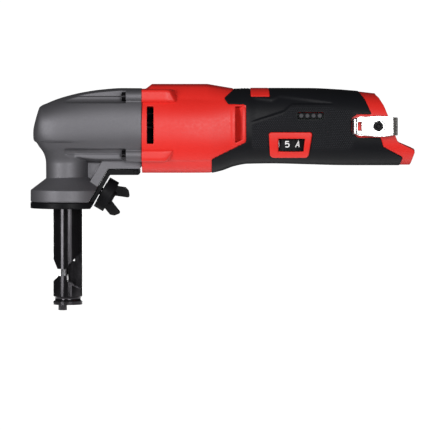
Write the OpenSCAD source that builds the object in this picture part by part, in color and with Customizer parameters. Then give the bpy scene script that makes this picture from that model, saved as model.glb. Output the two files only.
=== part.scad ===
// Hand-held sheet-metal nibbler, barrel grip, battery left out.
// Frame: origin on the axis of the die holder, level with the underside of the clamp ring.
// +X runs from the head to the battery end, +Z is up, and -Y is the tool's left side.
// Lengths are in millimetres.

/* [Handle and motor housing] */
// Height of the motor axis above the clamp ring
motor_z = 65; // [65:0.5:66]
// X of the joint between gear case and motor housing
case_rear_x = 58.5; // [58:0.5:59]
// Wall of the moulded shells
shell_wall = 2.8; // [2.4:0.1:3.2]
// Thickness of the soft grip over the shells
grip_wall = 1.2; // [0.8:0.1:1.6]

/* [Head] */
// Radius of the round flange that carries the die holder
flange_r = 29.4; // [28:0.2:30]
// Radius of the neck between flange and gear case
neck_r = 16; // [15.5:0.1:17]
// Thickness of the clamp ring
ring_t = 4.7; // [4.2:0.1:4.7]

/* [Cutting set] */
// Radius of the die holder's barrel
barrel_r = 11.5; // [11:0.1:12]
// Radius of the punch tip
tip_r = 2.7; // [2.4:0.05:2.7]
// Distance from the die holder's axis to the punch tip's axis, towards the front
tip_offset = 2.8; // [2.6:0.1:3]
// Height of the gap that the sheet enters
slot_h = 5.3; // [4.8:0.1:6]
// Half of the punch's stroke
throw = 3; // [2:0.5:3]

/* [Gears] */
// Teeth on both pinions
pinion_teeth = 12; // [12:2:14]
// Teeth on both driven gears
wheel_teeth = 36; // [34:2:36]

/* [Knob] */
// Radius of the wing knob's round base
knob_r = 13; // [11:0.5:13]

/* [Hidden] */
$fn = 48;

// Gear train: motor pinion -> idler gear, idler pinion -> crank gear
mod_1 = 0.6;
mod_2 = 0.7;
centre_1 = mod_1 * (pinion_teeth + wheel_teeth) / 2;
centre_2 = mod_2 * (pinion_teeth + wheel_teeth) / 2;
idler_y = -13.5;
idler_z = motor_z + sqrt(centre_1 * centre_1 - idler_y * idler_y);
crank_z = idler_z - sqrt(centre_2 * centre_2 - idler_y * idler_y);
pressure_angle = 25;
backlash = 0.12;

// Die holder and cutting set, heights along Z
slot_top = -47.6;
die_top = slot_top - slot_h;
barrel_end = -75.9;
flange_low = ring_t + 0.2;
flange_high = 14.8;
holder_flange_r = 16.6;
spigot_r = 13;
spigot_top = 19.5;
punch_body_r = 6;

// Wing knob: the screw's axis leaves the clamp leg at this point, 30 degrees below horizontal
knob_x = 26.9;
knob_z = 12.8;
knob_tilt = 120;

// Clamp plate hinge
pin_x = 53.5;
pin_z = 28.6;

// Screws that join gear case and shells, off the motor axis
case_screw_y = 20;
case_screw_z = 22.8;
case_boss_x = 46.2;

// Underside of the blank plate behind the switch
plate_low = 87.8;

// Speed dial
dial_x = 175.7;
dial_z = 49.8;
dial_r = 17;
dial_y = -8.4;

// Battery end and belt clip
clip_x = 243;
clip_z = 64.8;
clip_y = 27.4;
socket_floor_x = 197;

// Underside of the control board
board_z = 64;

// ---------- outlines ----------

// Handle stations: [x, lowest z, highest z, half width, squareness]
HANDLE = [
    [58.5, 27.7, 93.8, 29.2, 2.3], [62, 27.7, 95.2, 29.5, 2.3], [66, 27.7, 97.6, 29.8, 2.3],
    [88, 27.7, 97.6, 29.6, 2.3], [110, 27.9, 97.6, 28.8, 2.3], [120, 29.8, 95.8, 27.6, 2.4],
    [131, 33.4, 93.9, 26.2, 2.5], [141, 35.2, 94, 25.4, 2.6], [160, 35.5, 94, 25, 2.6],
    [190, 34.8, 93.9, 25.2, 2.6], [212, 34.2, 92.9, 25.6, 2.6], [228, 34.1, 91.6, 26, 2.6],
    [244, 34.1, 90, 26.4, 2.6], [273, 34.1, 89, 26.8, 2.6]
];

// Gear case stations, same columns
CASE = [
    [-25.8, 53, 62, 9, 2], [-24, 49.5, 71, 16, 2.2], [-20.9, 45.2, 79.2, 21, 2.3],
    [-16, 40.5, 82.2, 24.4, 2.4], [-9, 37.4, 85.3, 26.6, 2.4], [0, 36.3, 88, 27.9, 2.4],
    [12, 36, 90.8, 28.7, 2.4], [27, 36, 93, 29.1, 2.4], [43, 36, 94.1, 29.2, 2.4],
    [58.5, 36, 94.1, 29.2, 2.4]
];

// Side view [x, z] of the soft grip's area on the shells
GRIP = [
    [130.9, 100], [130.9, 93.8], [122.8, 86.8], [126.3, 82.3], [138.2, 81.5], [139.6, 79.6],
    [139.6, 52.5], [113.4, 37.8], [113.4, 20], [262, 20], [260.3, 34], [261.8, 40], [261, 41.2],
    [247.4, 47.7], [246, 50.6], [238, 74.2], [232, 85.7], [227.5, 91.5], [227.5, 100]
];

// Side view [x, z] of what is cut off the battery end
REAR_CUT = [
    [239, 100], [239, 90.8], [241.5, 90], [244.5, 86.2], [248.1, 80.7], [251, 73.2],
    [256.3, 58.2], [258, 52.7], [259.2, 51.4], [271.1, 45.9], [272.1, 44.5], [268.1, 34],
    [267, 20], [290, 20], [290, 100]
];

// ---------- helpers ----------

// A point on a station's superellipse, pushed out by off, at angle a from +Y towards +Z
function station_point(s, off, a) =
    let (h = (s[2] - s[1]) / 2 + off, w = s[3] + off, c = cos(a), q = sin(a))
    [s[0], w * sign(c) * pow(abs(c), 2 / s[4]), (s[1] + s[2]) / 2 + h * sign(q) * pow(abs(q), 2 / s[4])];

// Closed solid through all the stations
module loft(stations, off = 0, sides = 28) {
    n = len(stations);
    points = [for (s = stations, i = [0 : sides - 1]) station_point(s, off, i * 360 / sides)];
    walls = [for (k = [0 : n - 2], i = [0 : sides - 1])
        let (a = k * sides + i, b = k * sides + (i + 1) % sides)
        each [[a, a + sides, b], [b, a + sides, b + sides]]];
    polyhedron(points, concat(
        [[for (i = [0 : sides - 1]) i]],
        walls,
        [[for (i = [sides - 1 : -1 : 0]) (n - 1) * sides + i]]));
}

// The +Y half of a hollow loft, its wall reaching from offset inner to offset outer
module half_shell(stations, inner, outer, steps = 12) {
    n = len(stations);
    ring = 2 * (steps + 1);
    points = [for (s = stations) each concat(
        [for (i = [0 : steps]) station_point(s, outer, -90 + i * 180 / steps)],
        [for (i = [0 : steps]) station_point(s, inner, 90 - i * 180 / steps)])];
    walls = [for (k = [0 : n - 2], i = [0 : ring - 1])
        let (a = k * ring + i, b = k * ring + (i + 1) % ring)
        each [[a, a + ring, b], [b, a + ring, b + ring]]];
    caps = [for (i = [0 : steps - 1])
        let (a = i, b = i + 1, c = ring - 1 - i, d = ring - 2 - i, e = (n - 1) * ring)
        each [[a, b, c], [b, d, c], [e + a, e + c, e + b], [e + b, e + c, e + d]]];
    polyhedron(points, concat(walls, caps));
}

// Side-view outline [x, z] as a slab from y0 to y1
module side_slab(outline, y0, y1) {
    translate([0, y1, 0]) rotate([90, 0, 0]) linear_extrude(y1 - y0) polygon(outline);
}

// Cylinder along X from x0 to x1 at [y, z]
module x_rod(x0, x1, r, at = [0, motor_z]) {
    translate([x0, at[0], at[1]]) rotate([0, 90, 0]) cylinder(h = x1 - x0, r = r);
}

// Cylinder along Y from y0 to y1 at [x, z]
module y_rod(y0, y1, r, at) {
    translate([at[0], y1, at[1]]) rotate([90, 0, 0]) cylinder(h = y1 - y0, r = r);
}

// Cylinder along Z from z0 to z1 at [x, y]
module z_rod(z0, z1, r, at = [0, 0]) {
    translate([at[0], at[1], z0]) cylinder(h = z1 - z0, r = r);
}

// Puts children in the knob's frame: +Z leaves the clamp leg along the screw, +X points up the leg
module at_knob() {
    translate([knob_x, 0, knob_z]) rotate([0, knob_tilt, 0]) rotate([0, 0, 180]) children();
}

// Everything on the head's side of a plane square to the knob's axis, at height t on it
module behind_leg(t) {
    at_knob() translate([-80, -60, t - 120]) cube([160, 120, 120]);
}

function involute(base, a) = base * [cos(a) + a * PI / 180 * sin(a), sin(a) - a * PI / 180 * cos(a)];
function turned(p, a) = [p[0] * cos(a) - p[1] * sin(a), p[0] * sin(a) + p[1] * cos(a)];
function roll_at(base, r) = r <= base ? 0 : sqrt(pow(r / base, 2) - 1) * 180 / PI;

// One gear's outline, with a tooth centred on angle phase
function gear_outline(teeth, mod, phase) =
    let (
        pitch_r = teeth * mod / 2,
        base = pitch_r * cos(pressure_angle),
        root = pitch_r - 1.25 * mod,
        tip = pitch_r + 0.95 * mod,
        flank_turn = tan(pressure_angle) * 180 / PI - pressure_angle,
        half = 90 / teeth - backlash / pitch_r * 45 / PI + flank_turn,
        steps = 4,
        rolls = [for (i = [0 : steps]) i * roll_at(base, tip) / steps],
        curve = [for (a = rolls) if (norm(involute(base, a)) >= root) involute(base, a)],
        flank = concat(root < base ? [[root, 0]] : [], curve)
    )
    [for (t = [0 : teeth - 1]) each concat(
        [for (p = flank) turned(p, phase + t * 360 / teeth - half)],
        [for (i = [len(flank) - 1 : -1 : 0])
            turned([flank[i][0], -flank[i][1]], phase + t * 360 / teeth + half)])];

// Spur gear along X from x0 to x1 at [y, z]
module spur(teeth, mod, x0, x1, at, phase = 0) {
    translate([x0, at[0], at[1]]) rotate([90, 0, 90])
        linear_extrude(x1 - x0) polygon(gear_outline(teeth, mod, phase));
}

// Ball bearing along X: outer ring, inner ring and balls as separate solids
module ball_bearing(x0, width, bore_r, outer_r, at, balls = 8) {
    ring = (outer_r - bore_r) * 0.3;
    track_r = (outer_r + bore_r) / 2;
    ball_r = (outer_r - bore_r) / 2 - ring * 0.72;
    translate([x0, at[0], at[1]]) rotate([0, 90, 0]) {
        difference() {
            cylinder(h = width, r = outer_r);
            translate([0, 0, -1]) cylinder(h = width + 2, r = outer_r - ring);
            translate([0, 0, width / 2]) rotate_extrude() translate([track_r, 0]) circle(r = ball_r + 0.05);
        }
        difference() {
            cylinder(h = width, r = bore_r + ring);
            translate([0, 0, -1]) cylinder(h = width + 2, r = bore_r);
            translate([0, 0, width / 2]) rotate_extrude() translate([track_r, 0]) circle(r = ball_r + 0.05);
        }
        for (i = [0 : balls - 1])
            rotate([0, 0, i * 360 / balls]) translate([track_r, 0, width / 2]) sphere(r = ball_r);
    }
}

// Calls its children at the four case screws
module at_case_screws() {
    for (y = [-1, 1], z = [-1, 1])
        translate([0, y * case_screw_y, motor_z + z * case_screw_z]) children();
}

// ---------- head ----------

module brace_outline() {
    // Side view of the web and leg that tie the flange to the gear case
    polygon([[10, 5.2], [17, 5.2], [32, 31], [56.5, 31], [56.5, 38], [10, 38]]);
}

module gear_case_outer() {
    loft(CASE, 0, 32);
    z_rod(14, 46, neck_r);
    intersection() {
        union() {
            z_rod(flange_low, flange_high, flange_r);
            translate([0, 0, flange_high]) cylinder(h = 9.5, r1 = flange_r - 0.4, r2 = neck_r);
        }
        behind_leg(-4.8);
    }
    translate([0, 3, 0]) rotate([90, 0, 0]) linear_extrude(6) brace_outline();
    brace_bars();
    translate([50, -3.6, 26.4]) cube([6.5, 7.2, 8]);
    at_case_screws() x_rod(case_boss_x, case_rear_x, 5.4, [0, 0]);
}

// Leg and rail along the brace, wider than its web
module brace_bars() {
    intersection() {
        side_slab([[8.5, 5.2], [17, 5.2], [32, 31], [28.4, 37.2], [26.8, 36.3], [14, 14.8]], -11, 11);
        behind_leg(-4.8);
    }
    side_slab([[24.6, 31], [56.5, 31], [58.5, 33], [58.5, 37], [28, 37]], -11, 11);
}

module gear_case() {
    color("dimgray") difference() {
        gear_case_outer();
        // gear chamber and the seat of the gear plate
        x_rod(21, 45, 14.1, [0, crank_z]);
        x_rod(21, 45, 12.2, [idler_y, idler_z]);
        x_rod(44.5, 60, 24);
        // yoke chamber
        translate([-8, -14.6, 41]) cube([16, 29.2, 39.5]);
        // bearing seats
        x_rod(-20, -7, 9.5, [0, crank_z]);
        x_rod(7, 14.2, 9, [0, crank_z]);
        x_rod(14, 22, 10.5, [0, crank_z]);
        x_rod(17, 22, 5, [idler_y, idler_z]);
        // plunger bore, holder bore and holder flange seat
        z_rod(24, 42, 11);
        z_rod(flange_low - 1, spigot_top + 5, spigot_r + 0.05);
        z_rod(flange_low - 1, 9.3, holder_flange_r + 0.3);
        // threaded hole of the wing knob
        at_knob() z_rod(-12.3, -4, 3.05);
        // screw channels and holes
        at_case_screws() {
            x_rod(-30, case_boss_x, 3.9, [0, 0]);
            x_rod(40, 60, 2.2, [0, 0]);
        }
        // bore of the clamp hinge pin
        y_rod(-5, 5, 1.53, [pin_x, pin_z]);
    }
}

module gear_plate() {
    color("silver") difference() {
        union() {
            x_rod(45, 51.5, 23.9);
            x_rod(50, 55, 10);
        }
        x_rod(44, 46.2, 4.6);
        x_rod(46, 60, 8);
        x_rod(43, 48.3, 5, [idler_y, idler_z]);
        for (a = [20, 140, 260])
            translate([0, 20.5 * cos(a), motor_z + 20.5 * sin(a)]) x_rod(40, 60, 1.6, [0, 0]);
    }
}

module gear_plate_screws() {
    color("silver") for (a = [20, 140, 260])
        translate([0, 20.5 * cos(a), motor_z + 20.5 * sin(a)]) {
            x_rod(45.2, 51.6, 1.5, [0, 0]);
            x_rod(51.6, 53.8, 2.8, [0, 0]);
        }
}

// Pan-head screw with a hexagon socket, head towards -X
module case_screw() {
    difference() {
        union() {
            x_rod(case_boss_x - 3.4, case_boss_x - 0.05, 3.6, [0, 0]);
            x_rod(case_boss_x - 0.1, 76, 2.1, [0, 0]);
        }
        translate([case_boss_x - 4, 0, 0]) rotate([0, 90, 0]) cylinder(h = 2.4, r = 2, $fn = 6);
    }
}

module case_screws() {
    color("silver") at_case_screws() case_screw();
}

// ---------- shells and grip ----------

module grip_prism() {
    side_slab(GRIP, -60, 60);
}

// Ports through the left side: dial, charge gauge and the clip's seat
module left_ports() {
    translate([dial_x - 1, -27, dial_z]) cube([34.3, 30, 20.2], center = true);
    translate([190.3, -30, 72.6]) cube([20, 24, 5.6], center = true);
}

// Cooling slots through both sides
module vents() {
    translate([62.2, -40, 50.9]) cube([5, 80, 28.8]);
    side_slab([[131.6, 51.4], [137.3, 54.2], [137.3, 79.7], [131.6, 79.7]], -40, 40);
}

// The switch's pocket in the top
module top_port() {
    translate([129.6, -7, 85]) cube([14, 14, 20]);
}

// Where the cover plate behind the switch lies in the grips; gap is the clearance all round
module plate_zone(gap) {
    translate([143.8 - gap, -40, plate_low - gap]) cube([14.6 + 2 * gap, 80, 20]);
}

// Side view [x, z] of the screws that join the two shells
SHELL_SCREWS = [[71.5, 33.5], [118, 87.5], [118, 40.5], [165, 86], [150, 41.5], [207, 86.6], [209, 40.4]];

// Posts for the shell screws and the case screws inside the +Y half
module shell_posts() {
    for (p = SHELL_SCREWS) y_rod(0, 15, 4, p);
    for (z = [-1, 1]) x_rod(case_rear_x, 84, 5.4, [case_screw_y, motor_z + z * case_screw_z]);
    // seat of the belt clip's insert
    y_rod(18, clip_y - 0.6, 6.5, [clip_x, clip_z]);
}

module shell_half() {
    difference() {
        union() {
            half_shell(HANDLE, -shell_wall - grip_wall, 0, 14);
            shell_posts();
        }
        intersection() {
            half_shell(HANDLE, -grip_wall, 3, 14);
            grip_prism();
        }
        side_slab(REAR_CUT, -60, 60);
        vents();
        top_port();
        for (z = [-1, 1]) x_rod(50, 78, 2.15, [case_screw_y, motor_z + z * case_screw_z]);
        y_rod(10, 30, 3.5, [clip_x, clip_z]);
    }
}

module shell_right() {
    color("red") difference() {
        shell_half();
        for (p = SHELL_SCREWS) {
            y_rod(-1, 30, 1.6, p);
            y_rod(9, 40, 3.2, p);
        }
    }
}

module shell_left() {
    color("red") difference() {
        mirror([0, 1, 0]) shell_half();
        for (p = SHELL_SCREWS) y_rod(-11, 1, 1.45, p);
        left_ports();
    }
}

module grip_half() {
    difference() {
        intersection() {
            half_shell(HANDLE, -grip_wall + 0.02, 0, 14);
            grip_prism();
        }
        side_slab(REAR_CUT, -60, 60);
        top_port();
        plate_zone(0.1);
        translate([clip_x - 17, 0, clip_z - 9]) cube([60, 60, 18]);
    }
}

module grip_right() {
    color("black") difference() {
        grip_half();
        for (p = SHELL_SCREWS) y_rod(9, 40, 3.2, p);
    }
}

module grip_left() {
    color("black") difference() {
        mirror([0, 1, 0]) grip_half();
        left_ports();
    }
}

module shell_screws() {
    color("silver") for (p = SHELL_SCREWS) difference() {
        union() {
            y_rod(-10, 9.1, 1.4, p);
            y_rod(9.1, 11.6, 2.9, p);
        }
        translate([p[0], 12, p[1]]) rotate([90, 0, 0]) cylinder(h = 2, r = 1.4, $fn = 6);
    }
}

// ---------- motor ----------

module motor_stator() {
    color("gray") translate([76, 0, motor_z]) rotate([90, 0, 90]) linear_extrude(26) difference() {
        union() {
            // ring
            difference() {
                circle(r = 22);
                circle(r = 18.6);
            }
            // teeth and their wider feet
            for (i = [0 : 5]) rotate(i * 60) {
                translate([11.5, -2.2]) square([8, 4.4]);
                intersection() {
                    circle(r = 13);
                    translate([10.5, -5]) square([4, 10]);
                }
            }
        }
        circle(r = 10.9);
    }
}

module motor_windings() {
    color("orange") for (i = [0 : 5]) translate([0, 0, motor_z]) rotate([i * 60, 0, 0]) difference() {
        translate([73.2, -4.4, 13.4]) cube([31.6, 8.8, 4.2]);
        translate([75.95, -2.25, 10]) cube([26.1, 4.5, 10]);
    }
}

module rotor_core() {
    color("silver") difference() {
        x_rod(75, 103, 10.4);
        x_rod(70, 110, 2.47);
        for (i = [0 : 3]) translate([0, 0, motor_z]) rotate([i * 90 + 45, 0, 0])
            translate([74, -4, 7]) cube([30, 8, 1.6]);
    }
}

// Shaft with the motor pinion cut on its front end
module motor_shaft() {
    color("silver") {
        spur(pinion_teeth, mod_1, 35.5, 44, [0, motor_z], motor_phase);
        x_rod(43.9, 117, 2.47);
    }
}

module motor_fan() {
    color("black") difference() {
        union() {
            x_rod(60.5, 69, 6);
            x_rod(68, 69.4, 21);
            for (i = [0 : 10]) translate([0, 0, motor_z]) rotate([i * 360 / 11, 0, 0])
                translate([60.5, 5, 0]) rotate([24, 0, 0]) cube([8, 15, 1.4]);
        }
        x_rod(50, 80, 2.47);
    }
}

module motor_bearing_front() {
    color("silver") ball_bearing(46.5, 5, 2.5, 8, [0, motor_z], 7);
}

module motor_bearing_rear() {
    color("silver") ball_bearing(110.5, 5, 2.5, 8, [0, motor_z], 7);
}

module motor_end_plate() {
    color("dimgray") difference() {
        union() {
            x_rod(108.4, 110.4, 20.6);
            x_rod(110.3, 117.5, 10);
        }
        x_rod(100, 130, 8);
        for (i = [0 : 5]) translate([0, 0, motor_z]) rotate([i * 60, 0, 0]) x_rod(105, 113, 3.2, [0, 15]);
    }
}

// ---------- gear train and crank ----------

// Angles, from +Y towards +Z, of the lines from one shaft to the next
idler_dir = atan2(idler_z - motor_z, idler_y);
crank_dir = atan2(crank_z - idler_z, -idler_y);
motor_phase = idler_dir;
idler_gear_phase = idler_dir + 180 + 180 / wheel_teeth;
idler_pinion_phase = crank_dir;
crank_gear_phase = crank_dir + 180 + 180 / wheel_teeth;

module idler_pinion_shaft() {
    color("silver") {
        spur(pinion_teeth, mod_2, 22, 33, [idler_y, idler_z], idler_pinion_phase);
        x_rod(17.2, 48, 2.47, [idler_y, idler_z]);
    }
}

module idler_gear() {
    color("silver") difference() {
        spur(wheel_teeth, mod_1, 36, 43, [idler_y, idler_z], idler_gear_phase);
        x_rod(30, 50, 2.47, [idler_y, idler_z]);
        for (i = [0 : 4]) translate([0, idler_y, idler_z]) rotate([i * 72, 0, 0]) x_rod(30, 50, 1.8, [0, 6.3]);
    }
}

module idler_bearing_front() {
    color("silver") ball_bearing(17.1, 4, 2.5, 5, [idler_y, idler_z], 7);
}

module idler_bearing_rear() {
    color("silver") ball_bearing(44.2, 4, 2.5, 5, [idler_y, idler_z], 7);
}

// The eccentric points along +Y at rest, so the plunger is at mid stroke
module crank_shaft() {
    color("silver") {
        x_rod(-19, -12.8, 3.47, [0, crank_z]);
        x_rod(-12.8, -7, 7, [0, crank_z]);
        x_rod(-7.02, 7.02, 5, [throw, crank_z]);
        x_rod(7, 14, 8.4, [0, crank_z]);
        x_rod(13.9, 20, 5.97, [0, crank_z]);
        x_rod(19.9, 33, 5, [0, crank_z]);
    }
}

module crank_gear() {
    color("silver") difference() {
        spur(wheel_teeth, mod_2, 22.8, 31, [0, crank_z], crank_gear_phase);
        x_rod(20, 40, 5, [0, crank_z]);
        for (i = [0 : 5]) translate([0, 0, crank_z]) rotate([i * 60, 0, 0]) x_rod(20, 40, 1.7, [0, 8.2]);
    }
}

module crank_roller() {
    color("silver") difference() {
        x_rod(-6, 6, 7.5, [throw, crank_z]);
        x_rod(-9, 9, 5.03, [throw, crank_z]);
    }
}

module crank_bearing_front() {
    color("silver") ball_bearing(-19.4, 6, 3.5, 9.5, [0, crank_z], 8);
}

module crank_bearing_rear() {
    color("silver") ball_bearing(14.4, 5, 6, 10.5, [0, crank_z], 11);
}

// Yoke with a window for the roller, and a round rod with a side slot that hooks the punch's head
module plunger() {
    window = 7.5 + throw + 0.25;
    color("silver") difference() {
        union() {
            translate([-6.5, -14, crank_z - 16]) cube([13, 28, 32]);
            z_rod(24, crank_z - 15, 7.98);
        }
        translate([-10, -window, crank_z - window]) cube([20, 2 * window, 2 * window]);
        z_rod(23, 27.4, 3.4);
        translate([-12, -3.4, 23]) cube([12, 6.8, 4.4]);
        z_rod(27.3, 31, 5.3);
        translate([-12, -5.3, 27.3]) cube([12, 10.6, 3.7]);
    }
}

module plunger_bush() {
    color("goldenrod") difference() {
        z_rod(24.5, 41, 11);
        z_rod(20, 50, 8.02);
    }
}

// Felt ring under the bush
module wiper_seal() {
    color("tan") difference() {
        z_rod(21, 24.2, 12.9);
        z_rod(20, 30, 8.2);
    }
}

module punch() {
    color("silver") {
        z_rod(27.7, 30.6, 5);
        z_rod(20.4, 27.8, 3);
        z_rod(-38, 20.5, punch_body_r - 0.04);
        z_rod(die_top - 0.8, -37.9, tip_r, [-tip_offset, 0]);
    }
}

// ---------- die holder ----------

// Side view [x, z] of what is milled off each side of the barrel, leaving the web behind the punch
SIDE_CUT = [
    [-20, slot_top], [-1.2, slot_top], [0, slot_top + 2.6], [12, -33.2], [20, -25.5],
    [20, -66], [12, -65], [0.5, -58.4], [-1.2, die_top], [-20, die_top]
];

module die_holder() {
    web = tip_r - 0.2;
    color("dimgray") difference() {
        union() {
            z_rod(barrel_end, 5.2, barrel_r);
            z_rod(5, 9.1, holder_flange_r);
            z_rod(9, spigot_top, spigot_r);
        }
        // guide bore of the punch body and its tip
        z_rod(-41.5, 30, punch_body_r);
        z_rod(-50, -40, tip_r + 0.05, [-tip_offset, 0]);
        // slot for the sheet in front of the web
        translate([-20, -20, die_top]) cube([20 - 0.1, 40, slot_h]);
        z_rod(die_top, slot_top, tip_r + 0.05, [-tip_offset, 0]);
        // sides milled down to the web
        side_slab(SIDE_CUT, -20, -web);
        side_slab(SIDE_CUT, web, 20);
        // tapered nose over the slot and bevelled nose under it
        nose_cut(slot_top + 9.3, -12, slot_top - 0.5, -7.7);
        nose_cut(die_top - 5, -12, die_top + 0.3, -6.8);
        // seat of the die, chip channel and outlet
        z_rod(-62.1, die_top + 1, 5.02, [-tip_offset, 0]);
        z_rod(-68, -61.9, 3.6, [-tip_offset, 0]);
        translate([-tip_offset, -3.2, -68]) cube([6.5, 6.4, 6]);
        z_rod(-77, -62, 3.8, [4.2, 0]);
        // thread of the die lock screw
        z_rod(-77, -68.5, 2.02, [-4.2, 0]);
        // groove for the chip bag's wire clip
        translate([0, 0, -71.2]) rotate_extrude() translate([barrel_r + 0.6, 0]) circle(r = 2);
    }
}

// Slants the front of the barrel off, from [x0, z0] to [x1, z1] in side view
module nose_cut(z0, x0, z1, x1) {
    side_slab([[x0, z0], [x1, z1], [-20, z1], [-20, z0]], -20, 20);
}

module die() {
    color("gray") difference() {
        z_rod(-62, die_top, 5, [-tip_offset, 0]);
        z_rod(-70, -40, tip_r + 0.05, [-tip_offset, 0]);
        z_rod(-70, -57.4, tip_r + 0.5, [-tip_offset, 0]);
        // the web and the milled sides pass the die's rear
        side_slab(SIDE_CUT, -20, -tip_r + 0.2);
        side_slab(SIDE_CUT, tip_r - 0.2, 20);
        translate([-0.1, -20, -60]) cube([20, 40, 20]);
    }
}

module die_lock_screw() {
    color("dimgray") difference() {
        union() {
            z_rod(-75.9, -69, 2, [-4.2, 0]);
            z_rod(-78, -75.9, 3.4, [-4.2, 0]);
            translate([-4.2, 0, -80.4]) cylinder(h = 2.5, r = 3.4, $fn = 6);
        }
        translate([-4.2, 0, -81]) cylinder(h = 3, r = 1.5, $fn = 6);
    }
}

// ---------- clamp ----------

module clamp_plate() {
    color("black") difference() {
        union() {
            intersection() {
                z_rod(0, ring_t, flange_r);
                behind_leg(-1.1);
            }
            intersection() {
                side_slab([[14, 0], [19, 0], [36, 29.5], [35.4, 30.6], [31.8, 30.6], [16.4, ring_t],
                    [14, ring_t]], -11, 11);
                at_knob() translate([-60, -60, -4.6]) cube([120, 120, 3.5]);
            }
            side_slab([[29.4, 26.2], [55.5, 26.2], [57, 27.6], [57, 30.6], [32, 30.6],
                [29.5, 26.6]], -11, 11);
        }
        z_rod(-1, 6, barrel_r + 1.6);
        at_knob() z_rod(-8, 2, 4);
        translate([48.5, -4, 20]) cube([20, 8, 20]);
        y_rod(-20, 20, 1.6, [pin_x, pin_z]);
    }
}

module clamp_pin() {
    color("silver") y_rod(-11, 11, 1.5, [pin_x, pin_z]);
}

module wing() {
    // In the knob's frame: one wing leaning outwards
    rotate([90, 0, 0]) translate([0, 0, -2.6]) linear_extrude(5.2) hull()
        for (p = [[3, 7.8], [8.6, 8.6], [10.9, 14.4], [10.1, 16.9], [7.5, 19]])
            translate(p) circle(r = 1.5, $fn = 24);
}

module wing_knob() {
    color("black") at_knob() difference() {
        union() {
            z_rod(-0.2, 8.3, knob_r);
            z_rod(8, 10.5, 6);
            wing();
            mirror([1, 0, 0]) wing();
        }
        // recess over the washer
        z_rod(-1, 1.55, 8.4);
        z_rod(0, 9, 3);
    }
}

module wing_stud() {
    color("silver") at_knob() z_rod(-12, 9, 3);
}

module wing_washer() {
    color("silver") at_knob() difference() {
        z_rod(-0.5, 1.5, 8);
        z_rod(-2, 3, 3.04);
    }
}

// ---------- switch, dial, gauge ----------

module switch_slider() {
    color("black") difference() {
        union() {
            translate([135.6, -5, 86.5]) cube([7, 10, 6.3]);
            translate([135.6, -6.2, 91.8]) cube([7.4, 12.4, 1.8]);
            for (x = [136.2, 138.4, 140.6]) translate([x, -6.2, 93.4]) cube([1.2, 12.4, 0.8]);
        }
        translate([138, -1.6, 80]) cube([2.4, 3.2, 8.5]);
    }
}

module switch_body() {
    color("dimgray") {
        translate([128, -8, 74]) cube([17, 16, 10.6]);
        translate([133.2, -1.4, 84.5]) cube([5.6, 2.8, 1.6]);
    }
}

// Blank moulded plate behind the switch, set in the top of the shells
module switch_plate() {
    color("red") intersection() {
        for (side = [0, 1]) mirror([0, side, 0]) half_shell(HANDLE, -grip_wall + 0.02, 0, 14);
        plate_zone(0);
    }
}

module speed_dial() {
    color("black") translate([dial_x, dial_y, 0]) difference() {
        union() {
            z_rod(dial_z - 4.5, dial_z + 4.5, dial_r);
            z_rod(dial_z + 4.4, dial_z + 7, 3);
        }
        z_rod(dial_z - 4.6, dial_z - 3, 13.5);
        z_rod(dial_z - 8, dial_z + 8, 1.55);
        for (i = [0 : 35]) rotate(i * 10)
            translate([dial_r, 0, 0]) z_rod(dial_z - 4.6, dial_z - 3.2, 0.5);
        for (i = [0 : 35]) rotate(i * 10)
            translate([dial_r, 0, 0]) z_rod(dial_z + 3.2, dial_z + 4.6, 0.5);
    }
}

// Frame round the dial's window
module dial_bezel() {
    color("red") difference() {
        translate([0, 0.2, 0]) intersection() {
            side_slab([[158.6, 59.7], [157.9, 58], [158.6, 41.2], [160.2, 39.9], [187.8, 39.9],
                [189.6, 41], [191.7, 57.6], [190.6, 59.7]], -28, -16);
            difference() {
                loft([for (s = HANDLE) if (s[0] > 130 && s[0] < 215) s], 0.3, 32);
                loft([for (s = HANDLE) if (s[0] > 130 && s[0] < 215) s], -3.6, 32);
            }
        }
        translate([165.2, -40, 45.1]) cube([20.9, 40, 9.4]);
        translate([dial_x, dial_y, 0]) z_rod(44.9, 54.7, dial_r + 0.3);
    }
}

// Encoder under the control board, with the spindle that carries the dial
module dial_sensor() {
    color("darkgreen") translate([dial_x, dial_y, 0]) {
        translate([-6, -6, dial_z + 7.4]) cube([12, 12, board_z - dial_z - 7.4]);
        z_rod(dial_z - 6, dial_z + 7.5, 1.5);
    }
}

module gauge_lens() {
    color("dimgray") {
        intersection() {
            translate([190.3, -30, 72.6]) cube([19.6, 24, 5.2], center = true);
            difference() {
                loft([for (s = HANDLE) if (s[0] > 150 && s[0] < 230) s], -0.6, 32);
                loft([for (s = HANDLE) if (s[0] > 150 && s[0] < 230) s], -3.2, 32);
            }
        }
    }
}

module gauge_board() {
    color("darkgreen") {
        translate([180, -19.5, 68.6]) cube([20.6, 1.4, 8]);
        for (i = [0 : 3]) translate([183.4 + i * 4.6 - 0.8, -20.1, 71.8]) cube([1.6, 0.65, 1.6]);
    }
}

// ---------- electronics and battery end ----------

module control_board() {
    color("darkgreen") {
        translate([146, -17, board_z]) cube([46, 34, 1.6]);
        for (x = [156 : 8 : 180], y = [-3, 5]) translate([x, y, board_z + 1.5]) cube([5, 6, 1.6]);
        for (x = [158, 169]) z_rod(board_z + 1.5, board_z + 13, 4, [x, -12]);
    }
}

// Three phase leads, from the lower windings through the end plate's holes and up to the board
module motor_leads() {
    color("red") for (a = [120, 180, 240]) translate([0, -15 * sin(a), 0]) {
        low = motor_z + 15 * cos(a);
        x_rod(104.8, 150, 1.1, [0, low]);
        translate([150, 0, low]) sphere(r = 1.2);
        z_rod(low, board_z, 1.1, [150, 0]);
    }
}

module battery_leads() {
    color("black") for (y = [-6, 6]) x_rod(187, socket_floor_x, 1.3, [y, board_z + 2.9]);
}

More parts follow.
